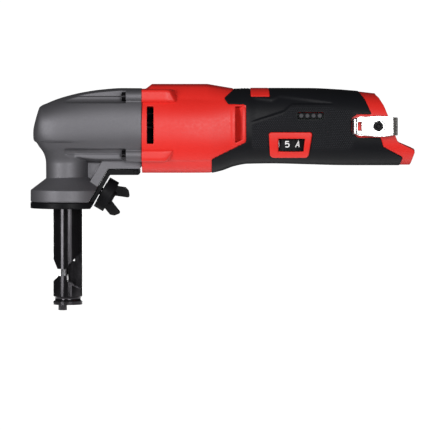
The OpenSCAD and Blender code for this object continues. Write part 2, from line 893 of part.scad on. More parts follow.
module contact_block() {
    color("black") difference() {
        translate([socket_floor_x, -16, 46]) cube([6, 32, 34]);
        for (y = [-8, 0, 8]) translate([socket_floor_x - 1, y - 0.5, 54]) cube([10, 1, 14]);
    }
}

module battery_contacts() {
    color("silver") for (y = [-8, 0, 8])
        translate([socket_floor_x - 0.2, y - 0.45, 54.3]) cube([16, 0.9, 13.4]);
}

// Bent strip: foot on the shell, folded at the front, outer leg running back to a flared lip
module belt_clip() {
    color("silver") translate([0, -clip_y, 0]) difference() {
        union() {
            // foot
            translate([226.6, -1.4, clip_z - 7.5]) cube([27, 1.4, 15]);
            // fold
            intersection() {
                translate([226.6, -4.2, clip_z - 7.5]) difference() {
                    cylinder(h = 15, r = 4.2);
                    translate([0, 0, -1]) cylinder(h = 17, r = 2.8);
                }
                translate([216, -20, 0]) cube([10.6, 40, 100]);
            }
            // outer leg
            translate([0, -7, 0]) rotate([90, 0, 0]) linear_extrude(1.4) polygon([
                [226.6, clip_z - 7.5], [234, clip_z - 8.4], [243, clip_z - 8.6], [256, clip_z - 7.6],
                [256, clip_z + 7.6], [243, clip_z + 8.6], [234, clip_z + 8.4], [226.6, clip_z + 7.5]]);
            // lip
            translate([255.2, -8.2, clip_z - 7.6]) rotate([0, 0, -30]) cube([3, 1.4, 15.2]);
        }
        // keyhole in the outer leg and screw hole in the foot
        y_rod(-10, -6, 4.2, [clip_x, clip_z]);
        translate([231, -10, clip_z - 3.2]) cube([12, 4, 6.4]);
        y_rod(-3, 1, 2.1, [clip_x, clip_z]);
    }
}

module belt_clip_screw() {
    color("black") difference() {
        union() {
            y_rod(-clip_y - 3.9, -clip_y - 1.45, 4, [clip_x, clip_z]);
            y_rod(-clip_y - 1.5, -clip_y + 7.4, 1.98, [clip_x, clip_z]);
        }
        translate([clip_x, -clip_y - 2.6, clip_z]) rotate([90, 0, 0]) cylinder(h = 2, r = 1.8, $fn = 6);
    }
}

module clip_insert() {
    difference() {
        y_rod(clip_y - 8.6, clip_y, 3.5, [clip_x, clip_z]);
        y_rod(10, 40, 2, [clip_x, clip_z]);
    }
}

module clip_insert_right() {
    color("goldenrod") clip_insert();
}

module clip_insert_left() {
    color("goldenrod") mirror([0, 1, 0]) clip_insert();
}

// ---------- nodes ----------

gear_case();
gear_plate();
gear_plate_screws();
case_screws();
shell_left();
shell_right();
grip_left();
grip_right();
shell_screws();
motor_stator();
motor_windings();
rotor_core();
motor_shaft();
motor_fan();
motor_bearing_front();
motor_bearing_rear();
motor_end_plate();
idler_pinion_shaft();
idler_gear();
idler_bearing_front();
idler_bearing_rear();
crank_shaft();
crank_gear();
crank_roller();
crank_bearing_front();
crank_bearing_rear();
plunger();
plunger_bush();
wiper_seal();
punch();
die_holder();
die();
die_lock_screw();
clamp_plate();
clamp_pin();
wing_knob();
wing_stud();
wing_washer();
switch_slider();
switch_body();
switch_plate();
speed_dial();
dial_bezel();
dial_sensor();
gauge_lens();
gauge_board();
control_board();
motor_leads();
battery_leads();
battery_contacts();
contact_block();
belt_clip();
belt_clip_screw();
clip_insert_left();
clip_insert_right();
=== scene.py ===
"""The cordless nibbler's looks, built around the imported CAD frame.

Lengths in this script are millimetres until mesh_from() turns them into Blender's metres.
X runs from the head to the battery end, Z is up, and the tool's left side faces -Y.
"""
import math
import bmesh
import bpy
import numpy as np
from mathutils import Matrix, Vector
from mathutils.geometry import delaunay_2d_cdt


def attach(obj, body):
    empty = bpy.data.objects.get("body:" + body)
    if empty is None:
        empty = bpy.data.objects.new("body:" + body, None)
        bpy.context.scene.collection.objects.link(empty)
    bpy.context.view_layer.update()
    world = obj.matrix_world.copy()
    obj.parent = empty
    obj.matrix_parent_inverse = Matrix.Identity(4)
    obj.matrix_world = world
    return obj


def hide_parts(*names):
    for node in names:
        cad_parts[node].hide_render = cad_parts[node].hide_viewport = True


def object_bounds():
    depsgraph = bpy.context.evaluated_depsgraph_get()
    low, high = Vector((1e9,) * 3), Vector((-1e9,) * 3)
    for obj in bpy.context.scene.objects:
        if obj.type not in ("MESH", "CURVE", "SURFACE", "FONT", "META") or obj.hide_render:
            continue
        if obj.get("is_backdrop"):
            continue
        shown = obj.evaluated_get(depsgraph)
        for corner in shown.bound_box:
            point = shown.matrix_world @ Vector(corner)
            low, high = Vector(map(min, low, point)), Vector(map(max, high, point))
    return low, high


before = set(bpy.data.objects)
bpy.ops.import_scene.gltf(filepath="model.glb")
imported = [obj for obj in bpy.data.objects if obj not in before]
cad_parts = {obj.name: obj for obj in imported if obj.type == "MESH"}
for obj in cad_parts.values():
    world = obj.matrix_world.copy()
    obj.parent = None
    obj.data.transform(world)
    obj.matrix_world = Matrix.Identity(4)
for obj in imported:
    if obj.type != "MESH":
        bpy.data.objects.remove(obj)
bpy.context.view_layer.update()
MM = 0.001
LEFT, RIGHT = -1, 1


# ---- curves and outlines

def smoothstep(t):
    t = np.clip(t, 0.0, 1.0)
    return t * t * (3 - 2 * t)


def monotone_curve(x, xs, ys):
    """Smooth interpolation through the knots that never overshoots them."""
    xs, ys, x = np.asarray(xs, float), np.asarray(ys, float), np.asarray(x, float)
    h = np.diff(xs)
    slope = np.diff(ys) / h
    m = np.zeros(len(xs))
    inner = slope[:-1] * slope[1:] > 0
    w1, w2 = 2 * h[1:] + h[:-1], h[1:] + 2 * h[:-1]
    with np.errstate(divide="ignore", invalid="ignore"):
        harmonic = (w1 + w2) / (w1 / slope[:-1] + w2 / slope[1:])
    m[1:-1] = np.where(inner, harmonic, 0.0)
    m[0], m[-1] = slope[0], slope[-1]
    k = np.clip(np.searchsorted(xs, x) - 1, 0, len(xs) - 2)
    t = np.clip((x - xs[k]) / h[k], 0, 1)
    a, b = ys[k], ys[k + 1]
    return (a * (1 + 2 * t) * (1 - t) ** 2 + m[k] * h[k] * t * (1 - t) ** 2
            + b * t * t * (3 - 2 * t) + m[k + 1] * h[k] * t * t * (t - 1))


ARC_STEPS = 5


def rounded(points, radius):
    """A closed outline whose corners are turned into arcs. radius is one number or one per corner."""
    pts = [np.array(p, float) for p in points]
    radii = [radius] * len(pts) if np.isscalar(radius) else radius
    out = []
    for i, p in enumerate(pts):
        a, b = pts[i - 1] - p, pts[(i + 1) % len(pts)] - p
        la, lb = np.linalg.norm(a), np.linalg.norm(b)
        a, b = a / la, b / lb
        half = math.acos(np.clip(a @ b, -1, 1)) / 2
        cut = min(radii[i] / math.tan(half), 0.45 * la, 0.45 * lb) if half < 1.55 else 0
        if cut < 1e-3:
            out.append(p)
            continue
        r = cut * math.tan(half)
        centre = p + (a + b) / np.linalg.norm(a + b) * (r / math.sin(half))
        start, end = p + a * cut - centre, p + b * cut - centre
        turn = math.atan2(start[0] * end[1] - start[1] * end[0], start @ end)
        for k in range(ARC_STEPS + 1):
            c, s = math.cos(turn * k / ARC_STEPS), math.sin(turn * k / ARC_STEPS)
            out.append(centre + np.array([start[0] * c - start[1] * s, start[0] * s + start[1] * c]))
    return np.array(out)


def turn_angles(count):
    return np.linspace(0, 2 * math.pi, count, endpoint=False)


def circle(u, v, radius, count):
    return [(u + radius * math.cos(a), v + radius * math.sin(a)) for a in turn_angles(count)]


def subdivided(starts, ends, spacing):
    """Points no further apart than spacing, from each start up to its end."""
    out = []
    for a, b in zip(starts, ends):
        n = max(1, int(math.ceil(np.linalg.norm(b - a) / spacing)))
        out += [a + (b - a) * k / n for k in range(n)]
    return out


def resampled(loop, spacing):
    """The closed outline with extra points, so that no edge is longer than spacing."""
    return np.array(subdivided(loop, np.roll(loop, -1, axis=0), spacing))


def inside(points, loops):
    """Even-odd test of each point against a set of closed outlines."""
    flag = np.zeros(len(points), bool)
    px, py = points[:, 0], points[:, 1]
    for loop in loops:
        for a, b in zip(loop, np.roll(loop, -1, axis=0)):
            if a[1] == b[1]:
                continue
            crosses = (a[1] > py) != (b[1] > py)
            flag ^= crosses & (px < (b[0] - a[0]) * (py - a[1]) / (b[1] - a[1]) + a[0])
    return flag


def distance_to(points, segments):
    """Shortest distance from each point to any of the segments, given as rows of ax, ay, bx, by."""
    best = np.full(len(points), 1e9)
    for ax, ay, bx, by in segments:
        dx, dy = bx - ax, by - ay
        t = np.clip(((points[:, 0] - ax) * dx + (points[:, 1] - ay) * dy) / (dx * dx + dy * dy + 1e-12), 0, 1)
        best = np.minimum(best, np.hypot(points[:, 0] - ax - t * dx, points[:, 1] - ay - t * dy))
    return best


def segments_of(loops):
    return np.concatenate([np.hstack([loop, np.roll(loop, -1, axis=0)]) for loop in loops])


# ---- surfaces

def halved(low, high, past):
    """The place between low and high from which past() is true, found by halving."""
    for _ in range(40):
        mid = (low + high) / 2
        beyond = past(mid)
        high, low = np.where(beyond, mid, high), np.where(beyond, low, mid)
    return (low + high) / 2


def superellipse(c, s, half, tall, n):
    """Radius of a superellipse in the direction whose cosine and sine are c and s."""
    return (np.abs(c / half) ** n + np.abs(s / tall) ** n) ** (-1 / n)


class Barrel:
    """A tube along X whose cross-section is a superellipse. Its plane coordinates are x and t, the
    length along the section, from the bottom seam (negative) over the side to the top seam."""

    scale = 32.0

    def __init__(self, stations, side):
        self.table = np.array(stations, float)
        self.side = side
        self.seam = self.scale * math.pi / 2

    def size_at(self, x):
        knots = self.table[:, 0]
        low, high, half, square = (monotone_curve(x, knots, self.table[:, k]) for k in (1, 2, 3, 4))
        return (low + high) / 2, (high - low) / 2, half, square

    def section(self, x, t):
        mid, tall, half, n = self.size_at(x)
        c, s = np.cos(t / self.scale), np.sin(t / self.scale)
        r = superellipse(c, s, half, tall, n)
        y, z = r * c, r * s
        ny = np.sign(c) * np.abs(y / half) ** (n - 1) / half
        nz = np.sign(s) * np.abs(z / tall) ** (n - 1) / tall
        size = np.hypot(ny, nz)
        return y, mid + z, ny / size, nz / size

    def point(self, x, t, lift):
        y, z, ny, nz = self.section(x, t)
        return np.stack([x, self.side * (y + lift * ny), z + lift * nz], axis=-1)

    def t_at_height(self, x, height):
        """t of the side point at that height, or the seam's where the height is past it."""
        x, height = np.broadcast_arrays(np.asarray(x, float), np.asarray(height, float))
        return halved(np.full(x.shape, -self.seam), np.full(x.shape, self.seam),
                      lambda t: self.section(x, t)[1] > height)

    def t_at_depth(self, x, depth):
        """t of the point on the upper half that is depth away from the middle plane."""
        x, depth = np.broadcast_arrays(np.asarray(x, float), np.asarray(depth, float))
        return halved(np.zeros(x.shape), np.full(x.shape, self.seam),
                      lambda t: self.section(x, t)[0] < depth)

    def outline(self, side_view, spacing):
        """A side-view outline of x and z, laid onto the surface and cut off at the seams."""
        loop = resampled(np.asarray(side_view, float), spacing)
        flat = np.stack([loop[:, 0], self.t_at_height(loop[:, 0], loop[:, 1])], axis=-1)
        return tidy_loop(flat)


def tidy_loop(loop):
    """The outline without points that lie on top of their neighbours."""
    gap = 0.05
    kept = [loop[0]]
    for p in loop[1:]:
        if np.linalg.norm(p - kept[-1]) > gap:
            kept.append(p)
    if np.linalg.norm(kept[0] - kept[-1]) < gap:
        kept.pop()
    return np.array(kept)


class Strip:
    """A strip bent about Z: its plane coordinates are u, the length along a path in XY, and z."""

    seam = 1e9

    def __init__(self, path):
        self.path = np.array(path, float)
        steps = np.linalg.norm(np.diff(self.path, axis=0), axis=1)
        self.u = np.concatenate([[0], np.cumsum(steps)])

    def point(self, u, t, lift):
        e = 0.05
        (x, y), (x0, y0), (x1, y1) = (
            [np.interp(at, self.u, self.path[:, k]) for k in (0, 1)] for at in (u, u - e, u + e))
        dx, dy = x1 - x0, y1 - y0
        size = np.hypot(dx, dy)
        return np.stack([x + lift * dy / size, y - lift * dx / size, t + 0 * x], axis=-1)


# ---- meshes

def placed(name, data):
    obj = bpy.data.objects.new(name, data)
    bpy.context.scene.collection.objects.link(obj)
    return obj


def mesh_from(name, verts, faces, smooth=True):
    mesh = bpy.data.meshes.new(name)
    mesh.from_pydata((np.asarray(verts) * MM).tolist(), [], [tuple(int(i) for i in f) for f in faces])
    mesh.validate()
    mesh.update()
    if smooth:
        mesh.shade_smooth()
    return placed(name, mesh)


def outward(obj):
    bm = bmesh.new()
    bm.from_mesh(obj.data)
    bmesh.ops.recalc_face_normals(bm, faces=bm.faces)
    bm.to_mesh(obj.data)
    bm.free()
    return obj


def edge_drop(distance, radius):
    """How far a rounded edge has dropped, at a distance from the outline."""
    d = np.minimum(distance, radius)
    return radius - np.sqrt(np.maximum(radius ** 2 - (radius - d) ** 2, 0))


def patch(name, surface, loops, lift, thickness, rim, spacing, seam_rim=0.2, inner_lift=None, extra=()):
    """A closed skin over the region between the outlines: its outer face stands at lift(x, t), rounds
    off along the outlines, and its inner face lies thickness below, or at inner_lift."""
    step = spacing * 0.8
    loops = [tidy_loop(resampled(tidy_loop(np.asarray(loop, float)), step)) for loop in loops]
    seam = surface.seam
    segments = segments_of(loops)
    on_seam = np.abs(np.abs(segments[:, (1, 3)]) - seam).max(1) < 1e-3
    rim_segments = segments[~on_seam]
    low, high = loops[0].min(0), loops[0].max(0)
    nx, ny = (np.ceil((high - low) / spacing).astype(int) + 1)
    gx, gy = np.meshgrid(np.linspace(low[0], high[0], nx), np.linspace(low[1], high[1], ny), indexing="ij")
    gx = gx + (np.arange(ny) % 2)[None, :] * spacing * 0.5
    grid = np.stack([gx.ravel(), gy.ravel()], axis=-1)
    grid = grid[inside(grid, loops)]
    far = distance_to(grid, segments) > max(rim * 1.25, spacing * 0.45)
    points = [grid[far]]
    rings = [rim * (1 - math.cos(math.radians(a))) for a in (30, 60, 90)] if rim > 0 else []
    for loop in loops:
        tangent = np.roll(loop, -1, axis=0) - np.roll(loop, 1, axis=0)
        normal = np.stack([-tangent[:, 1], tangent[:, 0]], axis=-1) / np.linalg.norm(tangent, axis=1)[:, None]
        for d in rings:
            for way in (-1, 1):
                ring = loop + way * d * normal
                ring = ring[inside(ring, loops)]
                ring = ring[np.abs(distance_to(ring, segments) - d) < 0.05 * d + 0.01]
                points.append(ring[distance_to(ring, rim_segments) < d * 1.05 + 0.01])
    for line in extra:
        line = line[inside(line, loops)]
        points.append(line[distance_to(line, segments) > rim * 1.2])
    border, edges, start = np.concatenate(loops), [], 0
    for loop in loops:
        n = len(loop)
        edges += [(start + i, start + (i + 1) % n) for i in range(n)]
        start += n
    flat = np.concatenate([border] + points)
    out = delaunay_2d_cdt([Vector(p) for p in flat.tolist()], edges, [], 0, 1e-6, False)
    verts2 = np.array([tuple(v) for v in out[0]])
    tris = np.array(out[2])
    centre = verts2[tris].mean(1)
    tris = tris[inside(centre, loops)]
    used = np.unique(tris)
    remap = np.full(len(verts2), -1)
    remap[used] = np.arange(len(used))
    verts2, tris = verts2[used], remap[tris]
    a, b, c = (verts2[tris[:, k]] for k in range(3))
    flip = np.cross(b - a, c - a) < 0
    tris[flip] = tris[flip][:, ::-1]
    x, t = verts2[:, 0], verts2[:, 1]
    height = lift(x, t) if callable(lift) else np.full(len(x), float(lift))
    top = height.copy()
    if rim > 0 and len(rim_segments):
        top -= edge_drop(distance_to(verts2, rim_segments), rim)
    if seam_rim and on_seam.any():
        top -= edge_drop(seam - np.abs(t), seam_rim)
    under = height - thickness if inner_lift is None else np.full(len(x), float(inner_lift))
    n = len(verts2)
    verts = np.concatenate([surface.point(x, t, top), surface.point(x, t, under)])
    # a dict keeps its order, so every run makes the same mesh
    half_edges = dict.fromkeys((int(f[i]), int(f[(i + 1) % 3])) for f in tris for i in range(3))
    walls = [(i, j) for i, j in half_edges if (j, i) not in half_edges]
    faces = [tuple(f) for f in tris] + [tuple(f[::-1] + n) for f in tris]
    for i, j in walls:
        faces.append((j, i, i + n, j + n))
    obj = outward(mesh_from(name, verts, faces))
    for key, one in (("patch_x", x), ("patch_t", t)):
        both = np.concatenate([one, one]).astype(np.float32)
        obj.data.attributes.new(key, "FLOAT", "POINT").data.foreach_set("value", both)
    return obj


def solid_from_rings(name, rings):
    """Closed solid through rings of equal count."""
    n, count = len(rings[0]), len(rings)
    faces = [tuple(range(n))[::-1], tuple(range((count - 1) * n, count * n))]
    for k in range(count - 1):
        for i in range(n):
            j = (i + 1) % n
            faces.append((k * n + i, k * n + j, (k + 1) * n + j, (k + 1) * n + i))
    return outward(mesh_from(name, np.concatenate(rings), faces, smooth=False))


def prism(name, outline, low, high, axis):
    """Outline of (x, z), (y, z) or (x, y) pushed along Y, X or Z."""
    outline = np.asarray(outline, float)
    rings = []
    for level in (low, high):
        k = np.full(len(outline), float(level))
        u, v = outline[:, 0], outline[:, 1]
        rings.append(np.stack({"Y": (u, k, v), "X": (k, u, v), "Z": (u, v, k)}[axis], axis=-1))
    return solid_from_rings(name, rings)


def rod(name, start, end, r0, r1=None, sides=48):
    """Cylinder or cone between two points."""
    start, end = Vector(start), Vector(end)
    way = (end - start).normalized()
    turn = way.to_track_quat("Z", "Y").to_matrix()
    rings = []
    for centre, r in ((start, r0), (end, r0 if r1 is None else r1)):
        rings.append(np.array([tuple(centre + turn @ Vector((u, v, 0))) for u, v in circle(0, 0, r, sides)]))
    return solid_from_rings(name, rings)


def box_mesh(name, low, high):
    (x0, y0, z0), (x1, y1, z1) = low, high
    return prism(name, [(x0, y0), (x1, y0), (x1, y1), (x0, y1)], z0, z1, "Z")


def joined(name, objs):
    """One object that holds all the meshes."""
    bm = bmesh.new()
    for o in objs:
        part = o.data.copy()
        part.transform(o.matrix_world)
        bm.from_mesh(part)
        bpy.data.meshes.remove(part)
    mesh = bpy.data.meshes.new(name)
    bm.to_mesh(mesh)
    bm.free()
    for o in objs:
        bpy.data.objects.remove(o)
    return placed(name, mesh)


def applied(obj):
    """Turns the object's modifiers into mesh."""
    bpy.context.view_layer.update()
    graph = bpy.context.evaluated_depsgraph_get()
    mesh = bpy.data.meshes.new_from_object(obj.evaluated_get(graph), depsgraph=graph)
    old = obj.data
    obj.modifiers.clear()
    obj.data = mesh
    if old.users == 0:
        bpy.data.meshes.remove(old)


def cut(obj, *tools):
    """Takes each tool's solid out of the object; the tools are gone afterwards."""
    for tool in tools:
        m = obj.modifiers.new("boolean", "BOOLEAN")
        m.operation, m.object, m.solver = "DIFFERENCE", tool, "EXACT"
        applied(obj)
        bpy.data.objects.remove(tool)


def cast(obj, voxel, rounds):
    """Merges overlapping solids into one skin and softens its edges, as a mould does."""
    m = obj.modifiers.new("remesh", "REMESH")
    m.mode, m.voxel_size, m.adaptivity = "VOXEL", voxel * MM, 0.0
    s = obj.modifiers.new("soften", "SMOOTH")
    s.factor, s.iterations = 0.5, rounds
    applied(obj)
    obj.data.shade_smooth()


def copied(name, node):
    """A new mesh object with a CAD node's shape."""
    obj = placed(name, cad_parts[node].data.copy())
    obj.data.materials.clear()
    return obj


def bevelled(obj, width, segments):
    m = obj.modifiers.new("bevel", "BEVEL")
    m.width, m.segments, m.limit_method = width * MM, segments, "ANGLE"
    m.angle_limit = math.radians(35)
    m.harden_normals = False
    m.miter_outer = "MITER_ARC"
    obj.modifiers.new("normals", "WEIGHTED_NORMAL").keep_sharp = True


# ---- materials

class Looks:
    """A small helper that builds one node material."""

    def __init__(self, name, color, roughness, metallic=0.0, specular=0.5):
        self.material = bpy.data.materials.new(name)
        self.material.use_nodes = True
        self.tree = self.material.node_tree
        self.shader = self.tree.nodes["Principled BSDF"]
        for key, value in (("Base Color", (*color, 1)), ("Metallic", metallic), ("Roughness", roughness),
                           ("Specular IOR Level", specular)):
            self.feed(self.shader.inputs[key], value)
        self.where = self.node("ShaderNodeTexCoord").outputs["Object"]
        self.normal = None

    def feed(self, socket, value):
        """Links another node's output to the socket, or sets the socket's own value."""
        if isinstance(value, bpy.types.NodeSocket):
            self.tree.links.new(value, socket)
        else:
            socket.default_value = value

    def node(self, kind, **settings):
        n = self.tree.nodes.new(kind)
        for key, value in settings.items():
            if key in n.inputs:
                self.feed(n.inputs[key], value)
            else:
                setattr(n, key, value)
        return n

    def noise(self, scale, detail, stretch=(1, 1, 1)):
        """Noise with scale in features per metre."""
        spread = self.node("ShaderNodeMapping", Vector=self.where, Scale=stretch)
        return self.node("ShaderNodeTexNoise", Vector=spread.outputs[0], Scale=scale, Detail=detail,
                         Roughness=0.55).outputs["Fac"]

    def ramp(self, value, low, high, to_low, to_high):
        return self.node("ShaderNodeMapRange", Value=value, **{
            "From Min": low, "From Max": high, "To Min": to_low, "To Max": to_high}).outputs["Result"]

    def math(self, operation, a, b=0.0):
        n = self.tree.nodes.new("ShaderNodeMath")
        n.operation = operation
        for socket, value in zip(n.inputs, (a, b)):
            self.feed(socket, value)
        return n.outputs[0]

    def vary_color(self, value, dark, light):
        mix = self.tree.nodes.new("ShaderNodeMix")
        mix.data_type = "RGBA"
        for key, content in (("Factor", value), ("A", (*dark, 1)), ("B", (*light, 1))):
            self.feed(mix.inputs[key], content)
        self.feed(self.shader.inputs["Base Color"], mix.outputs["Result"])

    def vary_roughness(self, value, low, high):
        self.feed(self.shader.inputs["Roughness"], self.ramp(value, 0.3, 0.7, low, high))

    def bump(self, height, depth_mm, strength):
        settings = dict(Height=height, Strength=strength, Distance=depth_mm * MM)
        if self.normal is not None:
            settings["Normal"] = self.normal
        self.normal = self.node("ShaderNodeBump", **settings).outputs["Normal"]
        self.feed(self.shader.inputs["Normal"], self.normal)


def textured(name, color, gloss, metallic=0.0, specular=0.5, tones=None, bump=None):
    """A material with, where given, two tones and fine relief.

    gloss is one roughness, or noise with a low and a high roughness; tones is noise, dark and light
    colour; bump is noise, depth in mm and strength. Noise is scale, detail and, where it runs one way,
    a stretch.
    """
    uneven = isinstance(gloss, tuple)
    k = Looks(name, color, (gloss[1] + gloss[2]) / 2 if uneven else gloss, metallic, specular)
    if tones:
        k.vary_color(k.noise(*tones[0]), *tones[1:])
    if uneven:
        k.vary_roughness(k.noise(*gloss[0]), *gloss[1:])
    if bump:
        k.bump(k.noise(*bump[0]), *bump[1:])
    return k.material


def soft_black():
    """Overmoulded elastomer; the fine stipple shows only where the grip_zone attribute says so, and its dots
    carry a painted highlight.
    """
    k = Looks("soft_black", (0.009, 0.009, 0.011), 0.6, specular=0.12)
    k.bump(k.noise(3000, 2), 0.01, 0.5)
    x = k.node("ShaderNodeAttribute", attribute_name="patch_x").outputs["Fac"]
    t = k.node("ShaderNodeAttribute", attribute_name="patch_t").outputs["Fac"]
    zone = k.node("ShaderNodeAttribute", attribute_name="grip_zone").outputs["Fac"]
    rough = k.math("ADD", k.ramp(zone, 0, 1, 0.4, 0.6), k.math("MULTIPLY", k.noise(500, 2), 0.1))
    k.feed(k.shader.inputs["Roughness"], rough)
    # rows of dots, every second row shifted by half a pitch
    pitch = 1.6
    row = k.math("FLOOR", k.math("DIVIDE", t, pitch))
    shift = k.math("MULTIPLY", k.math("MODULO", k.math("ABSOLUTE", row), 2.0), 0.5)
    u = k.math("SUBTRACT", k.math("FRACT", k.math("ADD", k.math("DIVIDE", x, pitch), shift)), 0.5)
    v = k.math("SUBTRACT", k.math("FRACT", k.math("DIVIDE", t, pitch)), 0.5)
    r = k.math("SQRT", k.math("ADD", k.math("MULTIPLY", u, u), k.math("MULTIPLY", v, v)))
    dot = k.math("MULTIPLY", k.ramp(r, 0.42, 0.16, 0.0, 1.0), zone)
    # the dots are painted lighter than the rubber round them: a painted highlight on the stipple, over a
    # faint random tone
    shade = k.math("ADD", k.math("MULTIPLY", k.noise(50, 3), 0.1), k.math("MULTIPLY", dot, 0.9))
    k.vary_color(shade, (0.0062, 0.0065, 0.008), (0.03, 0.031, 0.036))
    k.bump(dot, 0.35, 1.0)
    return k.material


def plain(name, color, roughness, metallic):
    return textured(name, color, ((700, 3), roughness - 0.06, roughness + 0.08), metallic)


CAST = textured("cast_metal", (0.14, 0.137, 0.148), ((900, 3), 0.52, 0.62), 0.7,
                tones=((60, 4), (0.128, 0.125, 0.137), (0.154, 0.151, 0.162)), bump=((2600, 2), 0.03, 0.55))
RED = textured("red_plastic", (0.74, 0.022, 0.016), ((700, 2), 0.38, 0.5), specular=0.35,
               tones=((45, 3), (0.71, 0.019, 0.014), (0.77, 0.025, 0.018)), bump=((3600, 2), 0.012, 0.5))
SOFT = soft_black()
OXIDE = textured("black_oxide", (0.028, 0.027, 0.03), ((260, 4, (1, 1, 0.25)), 0.1, 0.2), 0.85,
                 tones=((120, 4), (0.02, 0.019, 0.021), (0.036, 0.034, 0.038)),
                 bump=((1500, 3, (1, 1, 0.08)), 0.015, 0.4))
PAINT = textured("black_paint", (0.005, 0.005, 0.006), ((500, 3), 0.34, 0.5), specular=0.08,
                 bump=((1800, 3), 0.03, 0.6))
BLACK = textured("black_plastic", (0.006, 0.006, 0.007), ((600, 2), 0.44, 0.58), specular=0.08,
                 bump=((3000, 2), 0.015, 0.6))
STEEL = textured("machined_steel", (0.56, 0.56, 0.58), ((800, 3), 0.2, 0.34), 1.0,
                 tones=((90, 3), (0.5, 0.5, 0.52), (0.62, 0.62, 0.64)),
                 bump=((2500, 2, (0.2, 1, 1)), 0.006, 0.5))
CHROME = textured("chrome", (0.5, 0.5, 0.5), ((300, 3), 0.2, 0.3), 1.0)
SMOKED = textured("smoked_plastic", (0.004, 0.004, 0.005), ((400, 2), 0.45, 0.55), specular=0.06)
LAMP = textured("lamp_plastic", (0.05, 0.05, 0.055), 0.5, specular=0.2,
                tones=((150, 2), (0.04, 0.04, 0.045), (0.052, 0.052, 0.057)))
INK = textured("white_ink", (0.8, 0.8, 0.8), 0.55,
               tones=((2000, 2), (0.74, 0.74, 0.74), (0.84, 0.84, 0.84)))
COPPER = plain("copper_wire", (0.72, 0.3, 0.14), 0.32, 1)
BRASS = plain("brass", (0.7, 0.5, 0.22), 0.3, 1)
LAMINATE = plain("laminations", (0.3, 0.3, 0.32), 0.45, 1)
# a darker copy of the clip's steel for its turned-out end: painted shade
SHADED_LIP_STEEL = plain("lip_steel_painted_shade", (0.17, 0.165, 0.155), 0.4, 1)
PUNCH = plain("punch_steel", (0.1, 0.1, 0.105), 0.36, 1)
BOARD = plain("circuit_board", (0.015, 0.12, 0.05), 0.4, 0)
FELT = plain("felt", (0.42, 0.37, 0.28), 0.95, 0)
RED_WIRE = plain("red_wire", (0.5, 0.02, 0.02), 0.45, 0)


def painted(obj, material):
    obj.data.materials.clear()
    obj.data.materials.append(material)
    return obj


def finished(obj, material, body, slot, *nodes):
    """Paints a piece, lets it ride on its body and hides the CAD nodes it stands for."""
    painted(obj, material)
    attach(obj, body)
    if nodes:
        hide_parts(*nodes)
    return obj


# ---- the handle's shape

CASE_END = 58.5
TOP_LINE = 93.8

# x, lowest z, highest z, half width, squareness
HANDLE = [
    (CASE_END, 27.7, TOP_LINE, 29.2, 2.3), (66, 27.7, TOP_LINE, 29.6, 2.3), (88, 27.7, TOP_LINE, 29.6, 2.3),
    (110, 27.8, TOP_LINE, 28.8, 2.3), (120, 29.6, TOP_LINE, 27.6, 2.4), (131, 33.4, 93.9, 26.2, 2.5),
    (141, 35.2, 94, 25.4, 2.6), (160, 35.5, 94, 25, 2.6), (190, 34.8, 93.9, 25.2, 2.6),
    (212, 34.2, 92.9, 25.6, 2.6), (228, 34.1, 91.6, 26, 2.6), (244, 34.1, 90, 26.4, 2.6),
    (273, 34.1, 89, 26.8, 2.6),
]
handle = {side: Barrel(HANDLE, side) for side in (LEFT, RIGHT)}
shape = handle[LEFT]

# side-view outlines of x and z
REAR_EDGE = [(267.6, 30), (268.6, 34.2), (271.8, 44.2), (271, 46), (259.4, 51.6), (258, 53.2), (256.2, 58),
             (250.6, 73.4), (247.6, 81), (243.8, 87.2), (239.6, 91.2), (239, 96)]
GRIP_FRONT = [(113.2, 20), (113.2, 38.8), (139.9, 52.2), (139.9, 79.8), (138.4, 81.7), (126, 82),
              (122.8, 86.6), (131, 94), (131, 100)]
GRIP_REAR = [(227.6, 100), (228.2, 91.4), (232.7, 85.6), (238.1, 73.8), (239.4, 70), (244.9, 56),
             (247.2, 48.6), (261.8, 40.8), (262.2, 39.4), (260.4, 34.2), (259.6, 20)]
FRONT_VENT = [(62.6, 50.9), (67.8, 50.9), (67.8, 80.7), (62.6, 80.7)]
REAR_VENT = [(131.6, 51.6), (137.1, 54.4), (137.1, 80.2), (131.6, 80.2)]
BEZEL = [(157.7, 58.9), (158.6, 42.3), (160.6, 40.6), (187.2, 40.6), (188.9, 42.1), (191.7, 58.7),
         (190.4, 60.1), (159.4, 60.1)]
BEZEL_WINDOW = [(165.3, 45.3), (184.7, 45.3), (185.9, 55), (165.3, 55)]
GAUGE = [(180.2, 70.3), (200.4, 70.3), (200.4, 75.7), (180.2, 75.7)]
GAUGE_LENS = [(180.5, 70.6), (200.1, 70.6), (200.1, 75.4), (180.5, 75.4)]
CLIP_POCKET = [(262, 74.2), (226.4, 74.2), (222.2, 70.8), (222.2, 60.2), (227.2, 55.8), (262, 55.8)]
PLATE_FRONT, PLATE_REAR, PLATE_LOW = 143.2, 157.4, 87.8
SWITCH_FRONT, SWITCH_REAR, SWITCH_HALF = 129.8, 143.6, 7.0


def pairs(x, z_or_t):
    return np.stack([np.asarray(x, float), np.asarray(z_or_t, float)], axis=-1)


def on_shape(outline, radius, spacing=0.8):
    return shape.outline(rounded(outline, radius), spacing)


def distance_from(outline, radius, x, t):
    return distance_to(pairs(x, t), segments_of([on_shape(outline, radius)]))


def top_notch(front, rear, half):
    """Points, in order of falling x, that leave the top seam and come back round a slot in the top."""
    xs = np.linspace(rear, front, 8)
    down = shape.t_at_depth(xs, half)
    return [(rear, shape.seam)] + list(zip(xs, down)) + [(front, shape.seam)]


def seam_line(x0, x1, t, steps):
    return [(x, t) for x in np.linspace(x0, x1, steps)]


